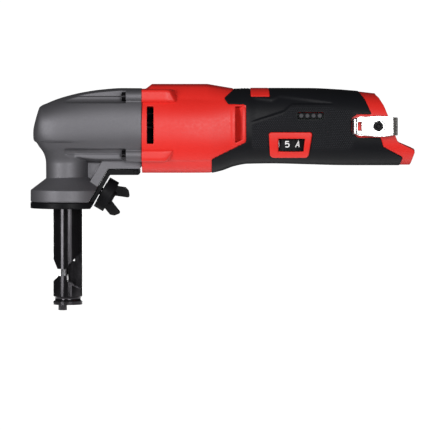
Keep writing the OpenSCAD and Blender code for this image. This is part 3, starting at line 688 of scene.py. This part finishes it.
def smooth_run(points, radius):
    """An open side-view line with rounded corners, laid onto the surface from seam to seam."""
    # closed far behind the tool for the rounding, then opened again
    far = 900
    pts = rounded(list(points) + [(points[-1][0] + far, 60), (points[0][0] + far, 60)], radius)
    pts = pts[pts[:, 0] < far - 300]
    out = np.array(subdivided(pts[:-1], pts[1:], 0.8) + [pts[-1]])
    flat = pairs(out[:, 0], shape.t_at_height(out[:, 0], out[:, 1]))
    keep = np.abs(flat[:, 1]) < shape.seam - 0.02
    first, last = np.argmax(keep), len(keep) - 1 - np.argmax(keep[::-1])
    flat = flat[first:last + 1]
    flat[0, 1] = math.copysign(shape.seam, flat[0, 1])
    flat[-1, 1] = math.copysign(shape.seam, flat[-1, 1])
    return flat


rear_run = smooth_run(REAR_EDGE, 1.6)
grip_front_run = smooth_run(GRIP_FRONT, 1.3)
grip_rear_run = smooth_run(GRIP_REAR[::-1], 1.5)[::-1]
switch_notch = top_notch(SWITCH_FRONT, SWITCH_REAR, SWITCH_HALF)
grip_loop = np.concatenate([
    [(grip_front_run[0][0], -shape.seam)], grip_front_run[1:-1], [(grip_front_run[-1][0], shape.seam)],
    seam_line(grip_front_run[-1][0] + 1, grip_rear_run[0][0] - 1, shape.seam, 60),
    grip_rear_run[:-1], [(grip_rear_run[-1][0], -shape.seam)]])


def in_grip(x, t):
    """Distance inside the grip's outline, negative outside it."""
    pts = pairs(x, t)
    edge = segments_of([grip_loop])
    off_seam = np.abs(np.abs(edge[:, (1, 3)]) - shape.seam).max(1) >= 1e-3
    d = distance_to(pts, edge[off_seam])
    return np.where(inside(pts, [grip_loop]), d, -d)


def ramp(value, width):
    return smoothstep(np.asarray(value) / width)


def ridge(x, t):
    """The raised back of the motor housing, with sloping sides and ends."""
    depth = shape.section(x, t)[0]
    along = np.clip((x - 61.3) / 4.9, 0, 1) * np.clip((131.4 - x) / 21.6, 0, 1)
    return 3.75 * along * np.clip((21.4 - depth) / 10, 0, 1) * (t > 0)


def red_lift(x, t):
    """The red shell's relief over the handle's shape."""
    # a raised frame round the rear vent
    from_vent = distance_from(REAR_VENT, 0.6, x, t)
    lift = ridge(x, t) + 0.5 * ramp(3.4 - from_vent, 0.7) * (in_grip(x, t) < 0)
    # a shallow flat along the bottom
    z = shape.section(x, t)[1]
    lift = lift - 0.9 * ramp(37.9 - z, 1.0) * ramp(z - 29, 6) * (x < 113)
    # set back below the grip
    return lift - 1.5 * ramp(in_grip(x, t) - 0.25, 0.5)


def side_loops(side):
    """The red shell's outline and holes on one side."""
    outer = np.concatenate([
        seam_line(CASE_END, rear_run[0][0] - 1, -shape.seam, 120),
        rear_run,
        seam_line(rear_run[-1][0] - 1, SWITCH_REAR + 1, shape.seam, 60),
        switch_notch,
        seam_line(SWITCH_FRONT - 1, CASE_END, shape.seam, 50)])
    holes = [on_shape(FRONT_VENT, 0.7), on_shape(REAR_VENT, 0.6)]
    if side == LEFT:
        behind_bezel = [(159.2, 42), (188.1, 42), (190.6, 58.8), (159.2, 58.8)]
        holes += [on_shape(behind_bezel, 1.0), on_shape(GAUGE, 1.2)]
    return [tidy_loop(outer)] + holes


def boss(name, side, depth, z, end, slant, reach, rise):
    """One of the screw towers on the housing's corners, with a slanted and bevelled rear end."""
    rings = []
    angles = turn_angles(56)
    c, s = np.cos(angles), np.sin(angles)
    r = superellipse(c, s, 1, 1, 4.5)
    across, up = reach * r * c, rise * r * s
    # distance in front of the rear end, and how far the outer face is drawn in there
    for back, draw in ((end - CASE_END, 0), (7, 0), (1.3, 0), (0.3, 0.4), (-0.8, 1.6), (-3.4, 6)):
        lean = slant * up * (back < 7)
        out = np.where(across > 0, np.maximum(across - draw, 0), across)
        rings.append(np.stack([end - back + lean, side * (depth + out), z + up * (1 - 0.01 * draw)], axis=-1))
    return solid_from_rings(name, rings)


def baffle(name, side):
    """A slanted rib behind the rear vent."""
    section = [(129.4, 15.4), (130.4, 15.2), (139.8, 21.6), (139.8, 24), (138.4, 24), (129.4, 16.6)]
    return prism(name, [(x, side * y) for x, y in section], 49.8, 81, "Z")


for side, word in ((LEFT, "left"), (RIGHT, "right")):
    skin = patch(f"shell_{word}_skin", handle[side], side_loops(side), red_lift, 2.8, rim=0.45, spacing=1.15)
    towers = [boss(f"tower_{word}_top", side, 19.4, 88.2, 82.6, -0.5, 5.6, 5.3),
              boss(f"tower_{word}_low", side, 20.6, 42, 80.6, 0.68, 7.9, 5.2)]
    for tower in towers:
        tower.data.shade_smooth()
        tower.data.set_sharp_from_angle(angle=math.radians(38))
    shell = joined(f"housing_shell_{word}", [skin, baffle(f"rib_{word}", side)] + towers)
    finished(shell, RED, "housing", "red_plastic", f"shell_{word}")

# ---- grips

BAND_TOP = [(140, 88.5), (160, 86.2), (166, 89.2), (193, 85.8), (207.4, 83.6), (210, 80)]
BAND_LOW = [(140, 66.4), (143.4, 67.3), (169.6, 75.8), (175.6, 81.4), (208.3, 81.3), (210, 80)]


def band_depth(x, t):
    """How deep the smooth sculpted band lies in the grip."""
    z = shape.section(x, t)[1]
    high = np.interp(x, *np.array(BAND_TOP).T)
    low = np.interp(x, *np.array(BAND_LOW).T)
    across = ramp(z - low, 1.6) * ramp(high - z, 2.6)
    return across * ramp(x - 140.5, 9) * ramp(209.5 - x, 3)


def grip_zone(x, t):
    """1 where the grip has its stipple, fading to 0 at the zone's limits."""
    z = shape.section(x, t)[1]
    low = np.interp(x, *np.array(BAND_LOW).T)
    limit = np.where(x < 209, low - 1.2, 78)
    zone = ramp(limit - z, 1.5) * ramp(z - 44, 8) * ramp(x - 143.5, 3) * ramp(226 - x, 8)
    for outline in (BEZEL, GAUGE):
        zone = zone * ramp(distance_from(outline, 1.2, x, t) - 0.8, 1.0)
    return zone


def grip_lift(x, t):
    return 0.45 - 1.0 * band_depth(x, t)


def grip_loops(side):
    plate_low = shape.t_at_height([PLATE_REAR + 0.5, PLATE_FRONT - 0.2], PLATE_LOW - 0.3)
    notch = [(PLATE_REAR, shape.seam), (PLATE_REAR + 1.4, plate_low[0]), (PLATE_FRONT + 0.3, plate_low[1]),
             (PLATE_FRONT - 0.1, shape.t_at_depth(PLATE_FRONT, SWITCH_HALF))]
    rear_x = grip_rear_run[0][0]
    # the switch's slot is open at the front and runs into the plate's notch
    front = grip_front_run[grip_front_run[:, 1] < shape.t_at_depth(grip_front_run[:, 0], SWITCH_HALF) - 0.3]
    slot_x = np.linspace(front[-1][0] + 0.5, SWITCH_REAR - 0.2, 8)
    slot = pairs(slot_x, shape.t_at_depth(slot_x, SWITCH_HALF))
    above = [p for p in grip_rear_run if p[1] > shape.t_at_height(p[0], CLIP_POCKET[0][1])]
    below = [p for p in grip_rear_run if p[1] < shape.t_at_height(p[0], CLIP_POCKET[-1][1])]
    pocket = resampled(rounded(CLIP_POCKET, [0, 1, 1, 1, 1, 0]), 0.8)
    pocket = pocket[pocket[:, 0] < 261.9]
    flat = pairs(pocket[:, 0], shape.t_at_height(pocket[:, 0], pocket[:, 1]))
    flat = flat[in_grip(flat[:, 0], flat[:, 1]) > 0.4]
    outer = np.concatenate([
        front, slot, notch[::-1],
        seam_line(PLATE_REAR + 1, rear_x - 1, shape.seam, 50),
        above, flat, below[:-1], [(grip_rear_run[-1][0], -shape.seam)],
        seam_line(grip_rear_run[-1][0] - 1, grip_front_run[0][0] + 1, -shape.seam, 110)])
    holes = []
    if side == LEFT:
        holes = [on_shape(BEZEL, 1.2), on_shape(GAUGE, 1.2)]
    return [tidy_loop(outer)] + holes


for side, word in ((LEFT, "left"), (RIGHT, "right")):
    sculpt = []
    for line in (BAND_TOP, BAND_LOW):
        for shift in (-1.2, -0.6, 0, 0.6, 1.2, 2.0):
            xs = np.arange(142, 209, 0.8)
            zs = np.interp(xs, *np.array(line).T) + shift
            sculpt.append(pairs(xs, shape.t_at_height(xs, zs)))
    grip = patch(f"soft_grip_{word}", handle[side], grip_loops(side), grip_lift, 1.3, rim=0.45, spacing=1.0,
                 inner_lift=-1.1, extra=sculpt)
    values = np.zeros(len(grip.data.vertices), np.float32)
    px, pt = np.zeros_like(values), np.zeros_like(values)
    grip.data.attributes["patch_x"].data.foreach_get("value", px)
    grip.data.attributes["patch_t"].data.foreach_get("value", pt)
    zone = grip_zone(px.astype(float), pt.astype(float)).astype(np.float32)
    grip.data.attributes.new("grip_zone", "FLOAT", "POINT").data.foreach_set("value", zone)
    finished(grip, SOFT, "housing", "black_rubber", f"grip_{word}")

# ---- dial bezel, charge gauge, cover plate

DIAL_X, DIAL_Y, DIAL_Z, DIAL_R = 175.7, -8.4, 49.8, 17.0
bezel_loops = [on_shape(BEZEL, 2.0, 0.6), on_shape(BEZEL_WINDOW, 0.3, 0.6)]
bezel = patch("dial_bezel_frame", shape, bezel_loops, 1.6, 3.35, rim=1.0, spacing=0.7)
# room for the wheel and its numbers
cut(bezel, rod("dial_space", (DIAL_X, DIAL_Y, 45.2), (DIAL_X, DIAL_Y, 54.8), 17.35, sides=160))
finished(bezel, RED, "housing", "red_plastic", "dial_bezel")

lens = patch("gauge_window", shape, [on_shape(GAUGE_LENS, 1.1, 0.6)], 0.1, 1.6, rim=0.3, spacing=0.7)
finished(lens, SMOKED, "housing", "smoked_lens", "gauge_lens")
for i, x in enumerate((183.1, 187.9, 192.7, 197.5)):
    ring = circle(x, 72.95, 1.75, 28)
    lamp = patch(f"gauge_lamp_{i + 1}", shape, [shape.outline(ring, 0.5)], 0.35, 0.6, rim=0.5, spacing=0.4)
    finished(lamp, LAMP, "housing", "smoked_lens")

halves = []
for side in (LEFT, RIGHT):
    low = shape.t_at_height([PLATE_FRONT + 0.6, PLATE_REAR + 0.9], PLATE_LOW)
    outline = [(PLATE_FRONT + 0.15, shape.seam), (PLATE_FRONT + 0.5, low[0]), (PLATE_REAR + 1.1, low[1]),
               (PLATE_REAR - 0.25, shape.seam)]
    outline = rounded(outline, [0, 0.9, 0.9, 0])
    halves.append(patch(f"plate_{side}", handle[side], [outline], 0.5, 1.2, rim=0.4, spacing=0.8, seam_rim=0))
finished(joined("switch_cover_plate", halves), RED, "housing", "red_plastic", "switch_plate")

# ---- speed dial's numbers


class Drum:
    """The dial's rim: s runs along it, counted from the point that faces the window."""

    seam = 1e9

    def point(self, s, t, lift):
        a, r = s / DIAL_R, DIAL_R + lift
        return np.stack([DIAL_X + r * np.sin(a), DIAL_Y - r * np.cos(a), DIAL_Z + t], axis=-1)


def stroke(line, width):
    """Outline of a pen stroke along an open line."""
    pts = np.array(line, float)
    ways = np.diff(pts, axis=0)
    ways /= np.linalg.norm(ways, axis=1)[:, None]
    left, right = [], []
    for i, p in enumerate(pts):
        before, after = ways[max(i - 1, 0)], ways[min(i, len(ways) - 1)]
        mean = (before + after) / np.linalg.norm(before + after)
        n = np.array([-mean[1], mean[0]]) * (width / 2) / max(mean @ after, 0.4)
        left.append(p + n)
        right.append(p - n)
    return np.array(left + right[::-1])


GLYPHS = {
    "1": [[(-0.9, 1.6), (0.3, 2.5), (0.3, -2.6)]],
    "2": [[(-1.5, 1.5), (-1.0, 2.3), (0.1, 2.5), (1.2, 2.1), (1.4, 1.1), (0.6, 0.0), (-0.6, -1.1),
           (-1.5, -2.3), (1.7, -2.3)]],
    "3": [[(-1.4, 2.0), (-0.4, 2.5), (0.9, 2.3), (1.4, 1.4), (0.9, 0.5), (-0.2, 0.2)],
          [(-0.2, 0.2), (1.0, 0.0), (1.6, -1.0), (1.1, -2.1), (-0.2, -2.5), (-1.5, -2.1)]],
    "4": [[(0.8, -2.6), (0.8, 2.3), (-1.6, -0.9), (1.9, -0.9)]],
    "5": [[(1.5, 2.3), (-1.2, 2.3), (-1.4, 0.2), (-0.3, 0.7), (0.8, 0.6), (1.5, -0.1), (1.6, -1.1),
           (1.0, -2.1), (-0.1, -2.5), (-1.5, -2.0)]],
    "A": [[(-1.7, -2.5), (0.9, 2.5), (1.5, -2.5)], [(-0.9, -0.8), (1.3, -0.8)]],
}
DIAL_STEP = math.radians(27) * DIAL_R
MARK_SCALE, MARK_RISE, PEN_WIDTH = 0.92, 0.9, 0.78
for place, mark in enumerate("A54321"):
    centre = 4.35 - DIAL_STEP * place
    pieces = []
    for k, line in enumerate(GLYPHS[mark]):
        outline = stroke(np.array(line) * MARK_SCALE + (centre, MARK_RISE), PEN_WIDTH)
        # strokes that cross lie at different heights
        lift = 0.12 + 0.02 * k
        pieces.append(patch(f"mark_{mark}_{k}", Drum(), [outline], lift, 0.3, rim=0, spacing=0.6))
    number = joined(f"dial_number_{mark}", pieces)
    number.data.shade_flat()
    finished(number, INK, "dial", "black_plastic")

# ---- belt clip

CLIP_X, CLIP_Z, CLIP_Y = 243.0, 64.8, -27.45
CLIP_FRONT, CLIP_REAR, CLIP_BEND = 226.6, 253.4, 4.15
LEG_Y = CLIP_Y - 2 * CLIP_BEND
bend = [(CLIP_FRONT + CLIP_BEND * math.cos(a), CLIP_Y - CLIP_BEND + CLIP_BEND * math.sin(a))
        for a in np.linspace(math.pi / 2, 3 * math.pi / 2, 19)]
strip = Strip([(CLIP_REAR, CLIP_Y)] + bend + [(254.5, LEG_Y)])
foot_end = CLIP_REAR - CLIP_FRONT
fold_end = foot_end + math.pi * CLIP_BEND


def on_foot(x):
    return CLIP_REAR - x


def on_leg(x):
    return fold_end + x - CLIP_FRONT


clip_edge = [(0, -7.4), (foot_end - 3, -7.4), (foot_end + 2, -6.2), (fold_end - 2, -5.9), (on_leg(233), -7.4),
             (on_leg(242), -8.3), (on_leg(250), -7.9), (strip.u[-1], -7.1)]
clip_corners = [2.5, 6, 6, 6, 14, 14, 14, 0.4]
clip_outline = rounded(clip_edge + [(u, -v) for u, v in clip_edge[::-1]], clip_corners + clip_corners[::-1])
SLOT_HALF, KEYHOLE_R = 3.35, 4.1
slot_arc = [(on_leg(244.1) + KEYHOLE_R * math.cos(a), KEYHOLE_R * math.sin(a))
            for a in np.radians(np.linspace(-130, 130, 24))]
keyhole = [(on_leg(226.9), SLOT_HALF), (on_leg(226.9), -SLOT_HALF)] + slot_arc
foot_window = [(on_foot(230.2), -SLOT_HALF), (on_foot(226.8), -SLOT_HALF), (on_foot(226.8), SLOT_HALF),
               (on_foot(230.2), SLOT_HALF)]
foot_hole = circle(on_foot(CLIP_X), 0, 2.3, 28)
lifted = [np.array(loop) + (0, CLIP_Z) for loop in (clip_outline, keyhole, foot_window, foot_hole)]
clip = patch("belt_clip_spring", strip, lifted, 0.0, 1.35, rim=0.35, spacing=0.9)
finished(clip, CHROME, "housing", "bright_steel", "belt_clip")

# the turned-out end, ribbed, in a darker copy of the clip's steel: painted shade
lip_strip = Strip([(254.1, LEG_Y + 0.2), (254.9, LEG_Y - 0.4), (256.8, LEG_Y - 2.5)])
reach = lip_strip.u[-1]
lip_outline = rounded([(0, 57.8), (reach, 57.8), (reach, 71.8), (0, 71.8)], [0, 0.7, 0.7, 0])


def ribs(u, v):
    return 0.08 * np.sin(v * 5.2)


lip = patch("belt_clip_lip", lip_strip, [lip_outline], ribs, 1.3, rim=0.3, spacing=0.35)
# painted shade: the lip gets the darker copy of the clip's steel
finished(lip, SHADED_LIP_STEEL, "housing", "bright_steel")

# ---- gear case

CASE_FRONT = -26.9
# x, lowest z, highest z, half width, squareness
CASE = [
    (CASE_FRONT, 53.6, 62.8, 8, 2), (-26, 52, 66.8, 12.5, 2.1), (-24.4, 49.2, 72.6, 17.5, 2.2),
    (-21.9, 45.2, 79.5, 21, 2.3), (-16, 40.5, 82.5, 24.4, 2.4), (-9, 37.6, 85.4, 26.6, 2.4),
    (0, 36.5, 88.2, 27.9, 2.4), (12, 36.1, 91, 28.7, 2.4), (27, 36, 93.2, 29.1, 2.4),
    (43, 36, 94.3, 29.2, 2.4), (CASE_END, 36, 94.2, 29.2, 2.4),
]
CASE_SCREWS = [(side * 20, z) for side in (LEFT, RIGHT) for z in (42.2, 87.8)]
CREASE_Z = 53.1


def case_body():
    """The barrel of the gear case, with a crease along its nose."""
    body = Barrel(CASE, RIGHT)
    angles = turn_angles(144)
    c, s = np.cos(angles), np.sin(angles)
    rings = []
    for x in np.concatenate([np.linspace(CASE_FRONT, -21.9, 12), np.linspace(-21.1, CASE_END, 82)]):
        mid, tall, half, n = body.size_at(x)
        r = superellipse(c, s, half, tall, n)
        z = mid + r * s
        fade = (1 - smoothstep((x + 8) / 34)) * smoothstep((x - CASE_FRONT) / 3)
        r = r - 2.3 * fade * smoothstep((CREASE_Z - z) / 2.2)
        rings.append(np.stack([np.full_like(r, x), r * c, mid + r * s], axis=-1))
    return solid_from_rings("case_body", rings)


def throat():
    """The neck, flaring into the nose at its front and sides."""
    # z, foremost x, rearmost x, half width
    table = np.array([
        (13.5, -17, 16.0, 16.0), (36, -17.2, 16.0, 16.2), (38.5, -17.5, 15.6, 16.8), (41, -18.1, 15.2, 17.8),
        (44, -19.4, 14.6, 19.2), (47, -21.4, 14, 20.8), (50, -23.6, 13.2, 22.4), (52.4, -25.2, 12.4, 23.6),
        (54, -25.6, 12, 24)])
    angles = turn_angles(96)
    c, s = np.cos(angles), np.sin(angles)
    rings = []
    for z in np.concatenate([[13.5, 20, 28, 33], np.linspace(36, 54, 24)]):
        front, rear, half = (np.interp(z, table[:, 0], table[:, k]) for k in (1, 2, 3))
        centre, length = (front + rear) / 2, (rear - front) / 2
        rings.append(np.stack([centre + length * c, half * s, np.full_like(angles, z)], axis=-1))
    return solid_from_rings("throat", rings)


KNOB = Vector((26.9, 0, 12.8))
KNOB_AXIS = Vector((math.cos(math.radians(30)), 0, -math.sin(math.radians(30))))


LEG_PLANE = -4.8


def beyond_leg():
    """A block that holds everything past the leg's plane, which stands square to the knob's axis."""
    place = Matrix.Translation(KNOB) @ KNOB_AXIS.to_track_quat("Z", "Y").to_matrix().to_4x4()
    block = box_mesh("beyond", (-90, -90, LEG_PLANE), (90, 90, LEG_PLANE + 150))
    block.data.transform(Matrix.Scale(MM, 4) @ place @ Matrix.Scale(1 / MM, 4))
    return block


def side_prism(name, outline, half):
    return prism(name, outline, -half, half, "Y")


def channel(side, z, x0, up, limit, inner):
    """Cutter for one screw's channel along the outside of the barrel, running out at its front end."""
    y, r, outer = 20, 5, 60
    corner = [(inner, z), (y - r, z)]
    corner += [(y + r * math.cos(a), z - up * r * math.sin(a)) for a in np.radians(np.arange(170, 80, -10))]
    corner += [(outer, z - up * r), (outer, limit), (inner, limit)]
    rings = [np.array([(x, side * (a + shift), b) for a, b in corner])
             for x, shift in ((x0, 7), (x0 + 5, 3), (x0 + 12, 0), (46, 0))]
    return solid_from_rings("channel", rings)


head = joined("head", [rod("flange", (0, 0, 4.9), (0, 0, 14.6), 29.3, sides=128),
                       rod("cone", (0, 0, 14.2), (0, 0, 24.4), 29.3, 15.9, sides=128)])
cast(head, 0.6, 2)
cut(head, beyond_leg())
leg = side_prism("leg", [(8.5, 5.2), (17, 5.2), (32, 31), (28.4, 37.2), (26.8, 36.3), (14, 14.8)], 11)
cut(leg, beyond_leg())
rail = side_prism("rail", [(24.6, 31), (56.5, 31), (58.4, 33), (58.4, 37), (28, 37)], 11)
web = side_prism("web", [(6, 12), (12, 10), (17, 12), (30, 33), (56.5, 32), (56.5, 40), (6, 40)], 3)
lug = box_mesh("lug", (50, -3.6, 26.4), (56.5, 3.6, 36))
barrel = joined("barrel", [case_body(), throat()])
towers = [rod("tower", (46, y, z), (CASE_END, y, z), 5.55, sides=64) for y, z in CASE_SCREWS]
cast(barrel, 0.45, 3)
for side in (LEFT, RIGHT):
    cut(barrel, channel(side, 87.8, -14, 1, 150, 13), channel(side, 42.2, -6, -1, 37.2, 15.5))
case = joined("gear_case_cast", [barrel, head, leg, rail, web, lug] + towers)
cast(case, 0.42, 3)

CRANK_Z, IDLER_Y, IDLER_Z = 60.01, -13.5, 70.01


def along_crank(name, x0, x1, radius):
    return rod(name, (x0, 0, CRANK_Z), (x1, 0, CRANK_Z), radius)


def along_idler(name, x0, x1, radius):
    return rod(name, (x0, IDLER_Y, IDLER_Z), (x1, IDLER_Y, IDLER_Z), radius)


def round_seat(name, low, high, radius, sides):
    return rod(name, (0, 0, low), (0, 0, high), radius, sides=sides)


cavity = joined("cavity", [
    along_crank("crank_gear_space", 21, 45, 14.1), along_idler("idler_gear_space", 21, 45, 12.2),
    rod("motor_bay", (44.5, 0, 65), (60, 0, 65), 24.0),
    box_mesh("yoke_space", (-8, -14.6, 41), (8, 14.6, 80.5)),
    along_crank("front_bearing_seat", -20, -7.5, 9.5), along_crank("crank_space", 7, 14.5, 9),
    along_crank("rear_bearing_seat", 14, 22, 10.5), along_idler("idler_bearing_seat", 17, 22, 5),
    round_seat("bush_seat", 24, 42, 11, 48), round_seat("holder_seat", 3.9, 29, 13.05, 96),
    round_seat("collar_seat", 3.9, 9.3, 16.9, 96),
    rod("stud_hole", KNOB - KNOB_AXIS * 12.3, KNOB - KNOB_AXIS * 4, 3.05),
    rod("pin_hole", (53.5, -5, 28.6), (53.5, 5, 28.6), 1.53)]
    + [rod("screw_hole", (38, y, z), (60, y, z), 2.2) for y, z in CASE_SCREWS]
    + [rod("screw_pocket", (41, y, z), (46.2, y, z), 5) for y, z in CASE_SCREWS])
cast(cavity, 0.5, 0)
cut(case, cavity)
case.data.shade_smooth()
finished(case, CAST, "housing", "cast_housing", "gear_case")

# ---- machined and moulded small parts

def machined(node, width, name, material, body, slot, segments=2, added=()):
    """The CAD node's shape with clean faces and softened edges."""
    obj = copied(name, node)
    bm = bmesh.new()
    bm.from_mesh(obj.data)
    bmesh.ops.remove_doubles(bm, verts=bm.verts, dist=0.002 * MM)
    bmesh.ops.dissolve_limit(bm, angle_limit=math.radians(0.7), verts=bm.verts, edges=bm.edges)
    bm.to_mesh(obj.data)
    bm.free()
    obj.data.shade_smooth()
    obj.data.set_sharp_from_angle(angle=math.radians(30))
    bevelled(obj, width, segments)
    applied(obj)
    if added:
        obj = joined(name, [obj, *added])
    return finished(obj, material, body, slot, node)


def moulded(node, voxel, rounds, name, material, body, slot):
    """The CAD node's shape with the rounded edges of a casting."""
    obj = copied(name, node)
    cast(obj, voxel, rounds)
    return finished(obj, material, body, slot, node)


moulded("clamp_plate", 0.3, 4, "clamp_plate_forged", PAINT, "clamp", "black_oxide")
moulded("wing_knob", 0.3, 5, "wing_knob_moulded", BLACK, "wing", "black_plastic")
machined("wing_washer", 0.25, "wing_washer_plain", OXIDE, "washer", "black_oxide")
machined("wing_stud", 0.3, "wing_stud_steel", OXIDE, "wing", "black_oxide")
# closes the seat's rear behind the die, above and beside the chip channel
web_fill = [box_mesh("fill_high", (0.1, -2.4, -57.3), (2.6, 2.4, -51.7)),
            box_mesh("fill_low", (0.5, -2.35, -60), (2.6, 2.35, -57.2))]
machined("die_holder", 0.22, "die_holder_barrel", OXIDE, "holder", "black_oxide", added=web_fill)
machined("die", 0.12, "die_insert", OXIDE, "holder", "black_oxide")
machined("die_lock_screw", 0.3, "die_lock_screw_hex", OXIDE, "holder", "black_oxide")
machined("punch", 0.12, "punch_rod", PUNCH, "punch", "steel")
machined("switch_slider", 0.45, "switch_slider_cap", BLACK, "switch", "black_plastic", 3)
machined("speed_dial", 0.2, "speed_dial_wheel", BLACK, "dial", "black_plastic")
machined("belt_clip_screw", 0.3, "belt_clip_screw_head", PAINT, "housing", "black_screw")
machined("case_screws", 0.35, "case_screw_heads", OXIDE, "housing", "black_screw", 3)
machined("shell_screws", 0.25, "shell_screw_heads", OXIDE, "housing", "black_screw")

# ---- inner CAD nodes

INNER_NODES = (
    (STEEL, "gear_plate gear_plate_screws crank_shaft crank_gear crank_roller idler_pinion_shaft idler_gear"),
    (STEEL, "motor_shaft plunger motor_bearing_front motor_bearing_rear idler_bearing_front"),
    (STEEL, "idler_bearing_rear crank_bearing_front crank_bearing_rear"),
    (LAMINATE, "motor_stator rotor_core"), (COPPER, "motor_windings battery_contacts"),
    (BRASS, "plunger_bush clip_insert_left clip_insert_right"), (FELT, "wiper_seal"),
    (BOARD, "gauge_board control_board"), (RED_WIRE, "motor_leads battery_leads"),
    (BLACK, "dial_sensor contact_block switch_body motor_end_plate motor_fan"), (PAINT, "clamp_pin"),
)
for material, nodes in INNER_NODES:
    for node in nodes.split():
        painted(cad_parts[node], material)

# ---- camera, lights, floor


# name, place, width and height, watts
LIGHTS = (
    ("key", (-0.78, -0.82, 0.22), (0.36, 0.7), 9.8),
    ("front", (0.42, -2.1, 0.35), (0.6, 0.9), 23.0),
    ("side", (0.58, -1.2, 0.1), (0.16, 0.8), 2.0),
    ("back", (0.12, 2.1, 0.0), (1.2, 0.4), 6.0),
)
LIT_POINT = Vector((0.1, 0, 0.02))


def studio():
    """White backdrop for the camera, dim surroundings, a glowing table, lights and the camera."""
    world = bpy.data.worlds.new("studio")
    bpy.context.scene.world = world
    world.use_nodes = True
    tree = world.node_tree
    backdrop, dim = tree.nodes["Background"], tree.nodes.new("ShaderNodeBackground")
    for shader, color, strength in ((backdrop, (1, 1, 1, 1), 1.05), (dim, (0.94, 0.97, 1, 1), 0.05)):
        shader.inputs["Color"].default_value = color
        shader.inputs["Strength"].default_value = strength
    path = tree.nodes.new("ShaderNodeLightPath")
    mix = tree.nodes.new("ShaderNodeMixShader")
    tree.links.new(path.outputs["Is Camera Ray"], mix.inputs[0])
    tree.links.new(dim.outputs[0], mix.inputs[1])
    tree.links.new(backdrop.outputs[0], mix.inputs[2])
    tree.links.new(mix.outputs[0], tree.nodes["World Output"].inputs["Surface"])
    table_z = -80.9
    rim = [(120 + 240 * math.cos(a), 120 * math.sin(a), table_z) for a in turn_angles(96)]
    floor = mesh_from("floor", rim, [tuple(range(96))])
    table = Looks("light_table", (0.8, 0.8, 0.8), 0.9)
    table.shader.inputs["Emission Color"].default_value = (1, 1, 1, 1)
    table.shader.inputs["Emission Strength"].default_value = 0.88
    painted(floor, table.material)
    floor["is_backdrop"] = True
    for name, place, size, watts in LIGHTS:
        light = bpy.data.lights.new(name, "AREA")
        light.shape = "RECTANGLE"
        light.size, light.size_y = size
        light.energy = watts
        lamp = placed(name, light)
        lamp.location = place
        lamp.rotation_euler = (LIT_POINT - lamp.location).to_track_quat("-Z", "Y").to_euler()
    camera = bpy.data.cameras.new("camera")
    camera.sensor_width = 36
    distance, view_width = 3.5, 0.3376
    camera.lens = camera.sensor_width * distance / view_width
    eye = placed("camera", camera)
    aim = Vector((0.1157, -0.006, -0.0053))
    elevation = math.radians(2.2)
    eye.location = aim + Vector((0, -math.cos(elevation), math.sin(elevation))) * distance
    eye.rotation_euler = (aim - eye.location).to_track_quat("-Z", "Y").to_euler()
    bpy.context.scene.camera = eye
    bpy.context.scene.view_settings.view_transform = "Standard"


studio()

low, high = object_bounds()
